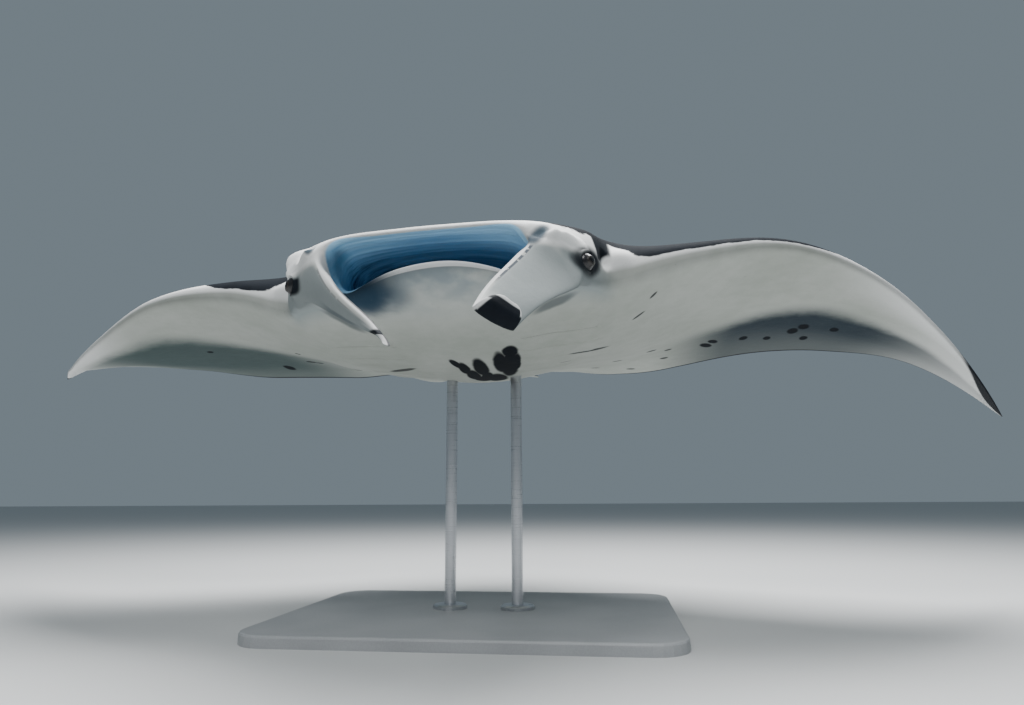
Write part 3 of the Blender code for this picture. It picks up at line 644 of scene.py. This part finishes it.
class Value:  # a number socket that takes part in Python expressions
    def __init__(self, look, socket):
        self.look, self.socket = look, socket

    def math(self, kind, *others):
        return self.look.add("ShaderNodeMath", {"operation": kind}, dict(enumerate((self, *others))))

    def __add__(self, other):
        return self.math("ADD", other)

    def __sub__(self, other):
        return self.math("SUBTRACT", other)

    def __rsub__(self, other):
        return self.look.add("ShaderNodeMath", {"operation": "SUBTRACT"}, {0: other, 1: self})

    def __mul__(self, other):
        return self.math("MULTIPLY", other)

    def __truediv__(self, other):
        return self.math("DIVIDE", other)

    __radd__ = __add__
    __rmul__ = __mul__

    def most(self, other):
        return self.math("MAXIMUM", other)

    def size(self):
        return self.math("ABSOLUTE")

    def ramp(self, low, high, start=0, end=1):  # eases from start to end as the value goes from low to high
        return self.look.add("ShaderNodeMapRange", {"interpolation_type": "SMOOTHSTEP"}, {
            "Value": self, "From Min": low, "From Max": high, "To Min": start, "To Max": end})


class Look:  # a material and the one method that adds its nodes
    def __init__(self, name):
        self.material = bpy.data.materials.new(name)
        self.material.use_nodes = True
        self.tree = self.material.node_tree
        self.shader = self.tree.nodes["Principled BSDF"]

    def add(self, kind, settings=None, inputs=None, output=0):
        node = self.tree.nodes.new(kind)
        for name, value in (settings or {}).items():
            setattr(node, name, value)
        for name, value in (inputs or {}).items():
            self.feed(node.inputs[name], value)
        return Value(self, node.outputs[output])

    def feed(self, socket, value):
        if isinstance(value, Value):
            self.tree.links.new(value.socket, socket)
        else:
            socket.default_value = value

    def finish(self, **inputs):
        for name, value in inputs.items():
            self.feed(self.shader.inputs[name.replace("_", " ")], value)
        return self.material

    def mark(self, name):
        return self.add("ShaderNodeAttribute", {"attribute_name": name}, output=2)

    def vector(self, name):
        return self.add("ShaderNodeAttribute", {"attribute_name": name}, output=1)

    def axes(self, vector):
        split = self.tree.nodes.new("ShaderNodeSeparateXYZ")
        self.feed(split.inputs[0], vector)
        return [Value(self, socket) for socket in split.outputs]

    def noise(self, vector, scale, detail=3, rough=0.5):
        return self.add("ShaderNodeTexNoise", None,
                        {"Vector": vector, "Scale": scale, "Detail": detail, "Roughness": rough})

    def blend(self, share, low, high):
        node = self.tree.nodes.new("ShaderNodeMix")
        node.data_type = "RGBA"
        self.feed(node.inputs["Factor"], share)
        for name, value in (("A", low), ("B", high)):
            socket = next(s for s in node.inputs if s.name == name and s.type == "RGBA")
            self.feed(socket, value if isinstance(value, Value) else (*value, 1))
        return Value(self, next(s for s in node.outputs if s.type == "RGBA"))

    def bump(self, height, strength, distance, normal=None):
        inputs = {"Height": height, "Strength": strength, "Distance": distance}
        if normal is not None:
            inputs["Normal"] = normal
        return self.add("ShaderNodeBump", None, inputs)


paint = {
    # the two belly tones are the white underside painted darker, as painted shade; the colour after them is
    # the same white painted lit
    "belly": ((0.37, 0.395, 0.355), (0.46, 0.48, 0.445)),
    "litWhite": (0.80, 0.81, 0.80),
    "black": ((0.005, 0.007, 0.010), (0.009, 0.012, 0.017)),
    "shoulder": (0.20, 0.215, 0.22),
    # painted shade and shadows: the cheek, chin, jaw-corner, lobe and groove colours, and the hollow colour
    # with dark pigment; the jaw colour is the white jaw rim painted as a highlight
    "cheekShade": (0.21, 0.26, 0.275),
    "jaw": (0.93, 0.94, 0.94),
    "chinShade": (0.17, 0.225, 0.26),
    "jawCorner": (0.020, 0.048, 0.080),
    "lobeShadow": (0.075, 0.095, 0.105),
    "speck": (0.16, 0.18, 0.18),
    "groove": (0.06, 0.065, 0.065),
    "hollow": (0.030, 0.060, 0.085),
    "fleck": (0.02, 0.03, 0.045),
    "band": {1: (0.016, 0.030, 0.042), -1: (0.055, 0.085, 0.085)},
    # painted shade: the mouth colours deepen from the lips into the dark throat opening, and the colour after
    # them darkens the mouth's right wall
    "mouth": ((0.29, 0.52, 0.72), (0.17, 0.39, 0.61), (0.015, 0.038, 0.090)),  # near, deep, throat
    "mouthWallShade": (0.035, 0.105, 0.19),
}

# Oval marks in the body frame: the middle, half the width and length, and a turn in degrees. They are
# (x, y) on the belly, back and mouth, (y, z) for the skin round an eye and (x, z) for the hollow before it.
markings = {
    # jaw corner, lobe root and throat ovals place painted shade and shadows; eye and hollow ovals place dark
    # skin with painted shade, the right eye's oval painted shade alone
    "jawCorner": {"at": (-0.170, 0.120), "size": (0.105, 0.075), "turn": -24},
    "lobeRootShadows": ({"at": (0.260, 0.232), "size": (0.058, 0.017), "turn": -29},
                  {"at": (-0.252, 0.238), "size": (0.062, 0.016), "turn": 60}),
    "shoulder": {"at": (0.44, 0.47), "size": (0.30, 0.085), "turn": 20},
    "eyeSkin": {1: {"at": (0.136, -0.022), "size": (0.062, 0.033), "turn": 22},
                -1: {"at": (0.094, -0.036), "size": (0.028, 0.018), "turn": 10}},
    "hollow": {1: {"at": (0.243, 0.010), "size": (0.016, 0.040), "turn": -32},
               -1: {"at": (0.262, 0.024), "size": (0.010, 0.014)}},
    "throatShade": {"at": (-0.165, 0.200), "size": (0.075, 0.090)},
    "spots": (
        {"at": (-0.034, 0.515), "size": (0.012, 0.049), "turn": -8},
        {"at": (-0.022, 0.567), "size": (0.016, 0.070), "turn": 2},
        {"at": (-0.013, 0.664), "size": (0.020, 0.084), "turn": 4},
        {"at": (0.000, 0.745), "size": (0.026, 0.066), "turn": -1},
        {"at": (0.024, 0.574), "size": (0.021, 0.104), "turn": 3},
        {"at": (0.022, 0.690), "size": (0.018, 0.070), "turn": 9},
        {"at": (0.043, 0.755), "size": (0.031, 0.095), "turn": 4},
        {"at": (0.085, 0.548), "size": (0.021, 0.112), "turn": 4},
        {"at": (0.105, 0.586), "size": (0.025, 0.160), "turn": 8},
        {"at": (0.124, 0.565), "size": (0.014, 0.103), "turn": 9},
        {"at": (0.124, 0.448), "size": (0.022, 0.044), "turn": 6},
    ),
    "dots": (
        {"at": (0.703, 0.990), "size": (0.015, 0.035), "turn": -30},
        {"at": (0.722, 0.955), "size": (0.013, 0.03), "turn": -30},
        {"at": (0.824, 0.958), "size": (0.014, 0.022)},
        {"at": (0.902, 0.962), "size": (0.012, 0.018)},
        {"at": (0.963, 0.875), "size": (0.015, 0.030)},
        {"at": (0.984, 0.825), "size": (0.015, 0.026)},
        {"at": (1.012, 0.937), "size": (0.012, 0.022)},
        {"at": (1.072, 0.819), "size": (0.012, 0.020)},
        {"at": (-0.748, 1.010), "size": (0.016, 0.040)},
        {"at": (-0.617, 0.896), "size": (0.018, 0.016), "turn": 20},
        {"at": (-0.592, 0.912), "size": (0.014, 0.012), "turn": 20},
        {"at": (-0.566, 0.683), "size": (0.010, 0.010)},
        {"at": (-0.377, 0.700), "size": (0.014, 0.012)},
        {"at": (-0.877, 0.704), "size": (0.010, 0.012)},
    ),
    "dashes": (
        {"at": (0.459, 0.438), "size": (0.020, 0.0045), "turn": -38},
        {"at": (0.496, 0.360), "size": (0.014, 0.0045), "turn": -52},
        {"at": (0.516, 0.881), "size": (0.016, 0.012)},
        {"at": (0.574, 0.941), "size": (0.012, 0.012)},
        {"at": (0.572, 1.079), "size": (0.014, 0.014)},
        {"at": (0.464, 1.228), "size": (0.016, 0.012)},
        {"at": (0.338, 1.173), "size": (0.016, 0.012)},
        {"at": (0.410, 0.946), "size": (0.016, 0.012)},
        {"at": (0.327, 0.574), "size": (0.052, 0.011), "turn": 9},
        {"at": (0.262, 0.650), "size": (0.024, 0.011), "turn": 9},
        {"at": (-0.205, 0.582), "size": (0.052, 0.012), "turn": -34},
    ),
}


def skinLook():
    look = Look("manta_skin")
    place = look.vector("place")
    x, y, z = look.axes(place)
    wide = x.size()
    under, chord, inMouth, lobe, lobeAcross, rear, groove = (
        look.mark(name) for name in (*markNames, "groove"))
    cloud = look.noise(place, 3.5, 4, 0.55)
    mottle = look.noise(place, 26, 5, 0.6)
    speck = look.noise(place, 150, 3, 0.6)
    grain = look.noise(place, 420, 2, 0.5)
    wx, wy = x + (mottle - 0.5) * 0.006, y + (mottle - 0.5) * 0.015
    left, right = x.ramp(-0.01, 0.01), x.ramp(0.01, -0.01)

    def spot(mark, soft=0.35, across=wx, along=wy):  # 1 inside an oval, 0 outside
        turn = math.radians(mark.get("turn", 0))
        dx, dy = across - mark["at"][0], along - mark["at"][1]
        u = (dx * math.cos(turn) + dy * math.sin(turn)) / mark["size"][0]
        v = (dy * math.cos(turn) - dx * math.sin(turn)) / mark["size"][1]
        return (u * u + v * v).ramp(1 + soft, 1 - soft)

    def spots(marks, soft=0.35, across=wx, along=wy):
        shares = [spot(mark, soft, across, along) for mark in marks]
        total = shares[0]
        for share in shares[1:]:
            total = total.most(share)
        return total

    lower = under.ramp(0.2, 0.6) * lobe.ramp(0.03, 0)
    # painted shade: the white underside in its darker tones, varied at random by cloud and mottle noise
    colour = look.blend(cloud.ramp(0.35, 0.65) * 0.6 + mottle.ramp(0.3, 0.7) * 0.4, *paint["belly"])
    # face: skin of the head facing forward and down below the brow, which gets less painted light
    face = y.ramp(0.34, 0.28) * z.ramp(-0.002, -0.028) * wide.ramp(0.24, 0.27).most(lobe.ramp(0, 0.05))
    margin = lobe.ramp(0.08, 0.10).most(wide.ramp(0.25, 0.24) * lobe.ramp(0, 0.02))
    margin = margin * under.ramp(-0.7, -0.2).most(lobe.ramp(0.24, 0.12)).most(left)
    # painted light: the white underside painted lit on the front of the head, along the lobes' front margins
    # and outer faces, at the wing tips and leading edges, on upward-facing skin and on the jaw rim, with less
    # of it on the face
    litWhite = (y.ramp(0.34, 0.10) * 0.3).most(lobeAcross.ramp(0.06, 0.03) * margin)
    litWhite = litWhite.most(lobe.ramp(0.28, 0.44) * lobeAcross.ramp(0.60, 0.22) * 0.9)
    litWhite = litWhite.most(wide.ramp(1.05, 1.55) * 0.8)
    litWhite = litWhite.most(wide.ramp(0.90, 1.25) * chord.ramp(0.28, 0.0))
    # painted highlight on the free edge of the left lobe's folded flap
    flapEdgeHighlight = lobe.ramp(0.86, 0.90).most(lobeAcross.ramp(0.94, 0.98) * lobe.ramp(0.74, 0.80)) * left
    litWhite = litWhite.most(flapEdgeHighlight)
    # the white rim of the lower jaw, painted brighter than the rest as a painted highlight
    jaw = chord.ramp(0.0038, 0.0016) * wide.ramp(0.26, 0.22) * lobe.ramp(0.03, 0) * under.ramp(-0.2, 0.3)
    litWhite = litWhite.most(under.ramp(0.4, -0.4) * (1 - face * 0.8)).most(jaw)
    colour = look.blend(litWhite, colour, paint["litWhite"])
    # painted shade on the forward-facing cheeks and the lobes' outer faces
    cheekShade = (lobe.ramp(0, 0.06) * lobeAcross.ramp(0.04, 0.15)).most(
        wide.ramp(0.26, 0.30) * wide.ramp(0.42, 0.34) * chord.ramp(0.10, 0.02))
    cheekShade = cheekShade * face * (1 - litWhite)
    colour = look.blend(cheekShade * 0.9, colour, paint["cheekShade"])
    colour = look.blend(jaw, colour, paint["jaw"])

    # grey band along the rear of each wing
    for hand, side, border, dark in (
            (1, left, x.ramp(0.70, 1.07, 0.50, 0.34),
             x.ramp(0.50, 0.80) * x.ramp(1.60, 1.12, 0.30, 1)),
            (-1, right, wide.ramp(0.60, 1.04, 0.42, 0.16),
             wide.ramp(0.40, 0.72) * wide.ramp(1.52, 1.08, 0.12, 1))):
        rise = (chord + (cloud - 0.5) * 0.10 + (mottle - 0.5) * 0.06 - border).ramp(-0.06, 0.12)
        rearLight = chord.ramp(0.55, 0.98, 1, 0.78) if hand > 0 else chord.ramp(0.70, 0.98, 1, 0.8)
        colour = look.blend(rise * dark * side * lower * rearLight, colour, paint["band"][hand])

    # painted shade on the chin and at the mouth's right corner, painted shadows below the lobe roots, small
    # marks, and painted shade in the gill slits
    haze = look.noise(place, 11, 3, 0.5)
    # painted shade under the lower jaw, patchy
    chinShade = y.ramp(0.24, 0.04) * wide.ramp(0.24, 0.14) * chord.ramp(0.002, 0.005)
    chinShade = chinShade * haze.ramp(0.20, 0.60) * 0.75
    # painted shade in the mouth's right corner, below the jaw
    corner = spot(markings["jawCorner"], 0.95, x + (haze - 0.5) * 0.06, y + (haze - 0.5) * 0.06)
    colour = look.blend(chinShade * lower, colour, paint["chinShade"])
    colour = look.blend(corner * lower, colour, paint["jawCorner"])
    # painted shadows below the lobe roots
    root = spots(markings["lobeRootShadows"], 0.7, x + (mottle - 0.5) * 0.01, y + (haze - 0.5) * 0.02) * lower
    colour = look.blend(root * 0.75, colour, paint["lobeShadow"])
    colour = look.blend(speck.ramp(0.62, 0.74) * 0.22, colour, paint["speck"])
    black = look.blend(mottle.ramp(0.2, 0.9), *paint["black"])
    dark = spots(markings["spots"]).most(spots(markings["dots"], 0.45)).most(
        spots(markings["dashes"], 0.5, x, y) * 0.85)
    colour = look.blend(dark * lower, colour, black)
    # painted shade in the gill slits on the underside
    colour = look.blend(groove.ramp(0.15, 0.9) * lower * 0.8, colour, paint["groove"])

    # black back with pale shoulders; dark skin and painted shade round the eyes, painted shade with dark
    # pigment in the hollows before them
    front = under + 1 - chord * 40 * under.ramp(0, -0.5)
    border = wide.ramp(0.36, 0.52, -1.6, 0.35) - x.ramp(-0.60, -0.72) * 2.2
    border = border + x.ramp(0.14, 0.28) * x.ramp(0.40, 0.34) * 0.2
    border = border - x.ramp(0.88, 1.02) * x.ramp(1.44, 1.34) * 1.3
    back = (front + (mottle - 0.5) * 0.9 - border).ramp(0.10, -0.10)
    back = back * lobe.ramp(0.02, 0) * inMouth.ramp(0.02, 0)
    shoulder = spot(markings["shoulder"], 0.95, wide, y + (cloud - 0.5) * 0.2)
    shoulder = shoulder * cloud.ramp(0.30, 0.55) * chord.ramp(0.15, 0.24)
    coat = look.blend(shoulder * 0.85, black, paint["shoulder"])
    behind = y + (mottle - 0.5) * 0.012
    flank = behind.ramp(0.170, 0.184) * (behind - z * 0.76).ramp(0.228, 0.214) * z.ramp(-0.014, 0.004)
    # dark skin round the left eye with painted shade in its socket; painted shade in the recess round the
    # right eye
    eyePatchAndShade = (spot(markings["eyeSkin"][1], 0.6, behind, z) * left).most(
        spot(markings["eyeSkin"][-1], 0.5, behind, z) * right)
    flank = flank * wide.ramp(0.345, 0.356) * wide.ramp(0.404, 0.396)
    flank = flank.most(eyePatchAndShade * wide.ramp(0.285, 0.305)) * wide.ramp(0.42, 0.41)
    flank = flank * inMouth.ramp(0.02, 0) * lobe.ramp(0.10, 0.05)
    # painted shade with dark pigment in the hollow before each eye
    hollow = (spot(markings["hollow"][1], 0.8, wide, z) * left).most(
        spot(markings["hollow"][-1], 0.8, wide, z) * right)
    hollow = hollow * y.ramp(0.13, 0.10) * under.ramp(-0.3, -0.6)
    hollow = hollow * inMouth.ramp(0.02, 0) * lobe.ramp(0.10, 0.06)
    colour = look.blend(hollow * 0.95, colour, paint["hollow"])
    colour = look.blend(back, colour, coat)
    colour = look.blend(flank.most(rear.ramp(0, 0.1) * under.ramp(0.3, -0.3)), colour, black)
    tipEdge = x.ramp(1.34, 1.72) * x.ramp(1.34, 1.72) * 0.75 - chord + x.ramp(-1.665, -1.685) * 2
    hem = ((chord + x.ramp(-0.30, -0.60) * 0.014).ramp(0.982, 0.992) * wide.ramp(0.30, 0.36)).most(
        tipEdge.ramp(-0.03, 0.04))
    colour = look.blend(hem, colour, black)

    # cephalic lobes: black inner faces and fold, dark flecks along the front margins, painted shadow along
    # the right lobe's lower edge
    inner = lobe.ramp(0.12, 0.2) * under.ramp(0.15, 0.55)
    fold = (lobe - lobeAcross.ramp(0.16, 0.04, 0, 0.06)).ramp(0.49, 0.52) * under.ramp(0.2, 0.6) * left
    notch = lobe.ramp(0.42, 0.45) * lobe.ramp(0.58, 0.54) * right
    # painted shadow on the band along the right lobe's lower edge
    fallShadow = (lobeAcross + (mottle - 0.5) * 0.1).ramp(0.58, 0.72) * under.ramp(0, -0.4) * right
    fallShadow = fallShadow * lobe.ramp(0.15, 0.24) * lobe.ramp(0.38, 0.31)
    colour = look.blend(fallShadow * 0.75, colour, paint["lobeShadow"])
    bulge = lobe.ramp(0.60, 0.56) * lobeAcross.ramp(0.03, 0.08)
    inside = fold.most(inner * left * 0.9) * (1 - flapEdgeHighlight)
    inside = inside * lobeAcross.ramp(0.05, 0.12).most(lobe.ramp(0.74, 0.80)).most(bulge)
    colour = look.blend((inner * right * 0.8).most(inside).most(notch), colour, black)
    fleck = look.noise(place, 75, 2, 0.5).ramp(0.37, 0.42) * under.ramp(-0.1, -0.4)
    fleck = fleck * lobeAcross.ramp(0.12, 0.09) * lobeAcross.ramp(0.03, 0.05)
    fleck = fleck * lobe.ramp(0.07, 0.09) * lobe.ramp(0.34, 0.26)
    colour = look.blend(fleck * (left * 0.6 + 0.35), colour, paint["fleck"])

    # mouth: white lips, blue-grey palate with painted shade deepening inward, towards the right wall and in
    # streaks along the folds, and a throat painted dark as shade
    near, deep, throatShade = paint["mouth"]
    bend = y - x * x * 0.22
    drawn = look.add("ShaderNodeCombineXYZ", None, {0: x * 5, 1: bend * 75, 2: z * 25})
    streak = look.noise(drawn, 1, 4, 0.6)
    # painted shade on the mouth's right wall
    wallShade = x.ramp(-0.180, -0.210) * y.ramp(0.02, 0.07)
    shade = inMouth - x * 1.1 + wallShade * 0.10
    # painted shade: the lining darkens inward and towards the ray's right, in streaks along the palate folds
    lining = look.blend((shade + (cloud - 0.5) * 0.3 + (streak - 0.5) * 1.6).ramp(0.25, 0.95), near, deep)
    # painted shade in the troughs of the palate folds
    lining = look.blend(groove.ramp(0.2, 1) * 0.18, lining, deep)
    # painted shade: the throat opening painted nearly black
    hole = spot(markings["throatShade"], 0.9, x, y)
    lining = look.blend((shade + hole * 0.36 + (streak - 0.5) * 1.1).ramp(1.02, 1.50), lining, throatShade)
    lining = look.blend(wallShade * (1 - hole) * 0.75, lining, paint["mouthWallShade"])
    lip = inMouth + (speck - 0.5) * 0.02 - wide.ramp(0.10, 0.20, 0.13, 0.01)
    colour = look.blend(lip.ramp(0, 0.05), colour, lining)

    rough = 0.62 + (mottle - 0.5) * 0.16 - inMouth.ramp(0.1, 0.4) * 0.18 + back.most(dark * lower) * 0.22
    fine = look.bump(grain, 0.25, 0.0012)
    normal = look.bump(mottle * 0.7 + cloud, 0.30, 0.006, fine)
    return look.finish(Base_Color=colour, Roughness=rough, Normal=normal, Specular_IOR_Level=0.06)


eyePaint = {
    "iris": ((0.010, 0.009, 0.009), (0.026, 0.022, 0.018)),
    "rim": (0.010, 0.010, 0.012),
    "pupil": (0.002, 0.002, 0.003),
    "pupilHalf": (0.50, 0.20),  # along and across, in eye radii
}


def eyeLook():
    look = Look("manta_eye")
    place = look.vector("place")
    x, y = look.axes(place)[:2]
    radius = eyes["radius"]
    out = (x * x + y * y).math("SQRT") / radius
    long, high = eyePaint["pupilHalf"]
    u, v = x / (radius * long), y / (radius * high)
    pupil = (u * u + v * v).ramp(1.15, 0.85)
    ray = look.noise(place, 900, 3, 0.6)
    iris = look.blend(ray.ramp(0.3, 0.7), *eyePaint["iris"])
    iris = look.blend(out.ramp(0.50, 0.68), iris, eyePaint["rim"])
    colour = look.blend(pupil, iris, eyePaint["pupil"])
    return look.finish(Base_Color=colour, Roughness=0.24 + ray * 0.06, Coat_Weight=out.ramp(0.9, 0.7, 0, 0.3),
                       Coat_Roughness=0.05, Specular_IOR_Level=0.3)


stand = {
    "paint": ((0.30, 0.31, 0.32), (0.37, 0.38, 0.39)),
    "steel": ((0.52, 0.53, 0.55), (0.66, 0.67, 0.69)),
}


def baseLook():
    look = Look("stand_paint")
    spot = look.add("ShaderNodeTexCoord", output=3)
    fleck, cloud = look.noise(spot, 260, 3), look.noise(spot, 5, 3)
    share = cloud.ramp(0.3, 0.7) * 0.7 + fleck.ramp(0.4, 0.6) * 0.3
    colour = look.blend(share, *stand["paint"])
    return look.finish(Base_Color=colour, Roughness=0.46 + (cloud - 0.5) * 0.12,
                       Normal=look.bump(fleck, 0.2, 0.0006))


def rodLook():
    look = Look("stand_steel")
    spot = look.add("ShaderNodeTexCoord", output=3)
    x, y, z = look.axes(spot)
    brushed = look.add("ShaderNodeCombineXYZ", None, {0: x * 8, 1: y * 8, 2: z * 420})
    line = look.noise(brushed, 1, 4, 0.6)
    colour = look.blend(line, *stand["steel"])
    return look.finish(Base_Color=colour, Metallic=1.0, Roughness=0.30 + (line - 0.5) * 0.2,
                       Normal=look.bump(line, 0.15, 0.0004))


view = {  # place and turns, in radians, in the body frame
    "place": Vector((0.35498, -1.34746, -0.60635)),
    "yaw": 0.12535,
    "pitch": 0.25407,
    "roll": 0.03876,
    "lens": 25.02,
    "sensor": 36,
    "nearest": 0.02,
}


def addCamera():
    camera = bpy.data.cameras.new("camera")
    camera.lens, camera.sensor_width = view["lens"], view["sensor"]
    camera.clip_start = view["nearest"]
    obj = bpy.data.objects.new("camera", camera)
    turn = Matrix.Rotation(view["yaw"], 4, "Z") @ Matrix.Rotation(view["pitch"], 4, "X")
    turn = turn @ Matrix.Rotation(view["roll"], 4, "Y") @ Matrix.Rotation(math.pi / 2, 4, "X")
    obj.matrix_world = standPose() @ Matrix.Translation(view["place"]) @ turn
    bpy.context.scene.collection.objects.link(obj)
    bpy.context.scene.camera = obj


studio = {
    "floorSize": 60,
    "floorPaint": (0.56, 0.57, 0.57, 1),
    "world": (0.34, 0.42, 0.48),
    "worldPower": 0.5,
    "lamps": (
        {"name": "top", "place": (0.3, 0.5, 4.2), "aim": (0, 0.0, 0.9), "size": 3.0, "power": 500},
        {"name": "front", "place": (0.2, -3.0, 3.2), "aim": (0, 0.1, 0.85), "size": 1.6, "power": 110},
    ),
}


def addStudio():
    bm = bmesh.new()
    bmesh.ops.create_grid(bm, x_segments=1, y_segments=1, size=studio["floorSize"] / 2)
    look = Look("studio_floor").finish(Base_Color=studio["floorPaint"], Roughness=0.8)
    addObject("studio_floor", bm, look)
    world = bpy.data.worlds.new("studio")
    world.use_nodes = True
    sky = world.node_tree.nodes["Background"].inputs
    sky["Color"].default_value = (*studio["world"], 1)
    sky["Strength"].default_value = studio["worldPower"]
    bpy.context.scene.world = world
    for lamp in studio["lamps"]:
        light = bpy.data.lights.new(lamp["name"], "AREA")
        light.energy, light.size = lamp["power"], lamp["size"]
        obj = bpy.data.objects.new(lamp["name"], light)
        obj.location = lamp["place"]
        obj.rotation_euler = (Vector(lamp["aim"]) - Vector(lamp["place"])).to_track_quat("-Z", "Y").to_euler()
        bpy.context.scene.collection.objects.link(obj)


addCamera()
addStudio()
print("camera and studio placed")
skin = buildSkin(skinLook())
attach(skin, "root")
fleshNodes = [name for name in nodes if not name.startswith(("stand_", "eye_"))]
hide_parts(*fleshNodes)
eyeSkin = eyeLook()
for hand, node in ((1, "eye_left"), (-1, "eye_right")):
    eye = buildEye(hand, eyeSkin)
    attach(eye, "root")
    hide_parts(node)
print("eyes built")
for name, look in (("stand_base", baseLook()), ("stand_rod_left", rodLook()), ("stand_rod_right", rodLook())):
    nodes[name].data.materials.clear()
    nodes[name].data.materials.append(look)
print("stand painted")
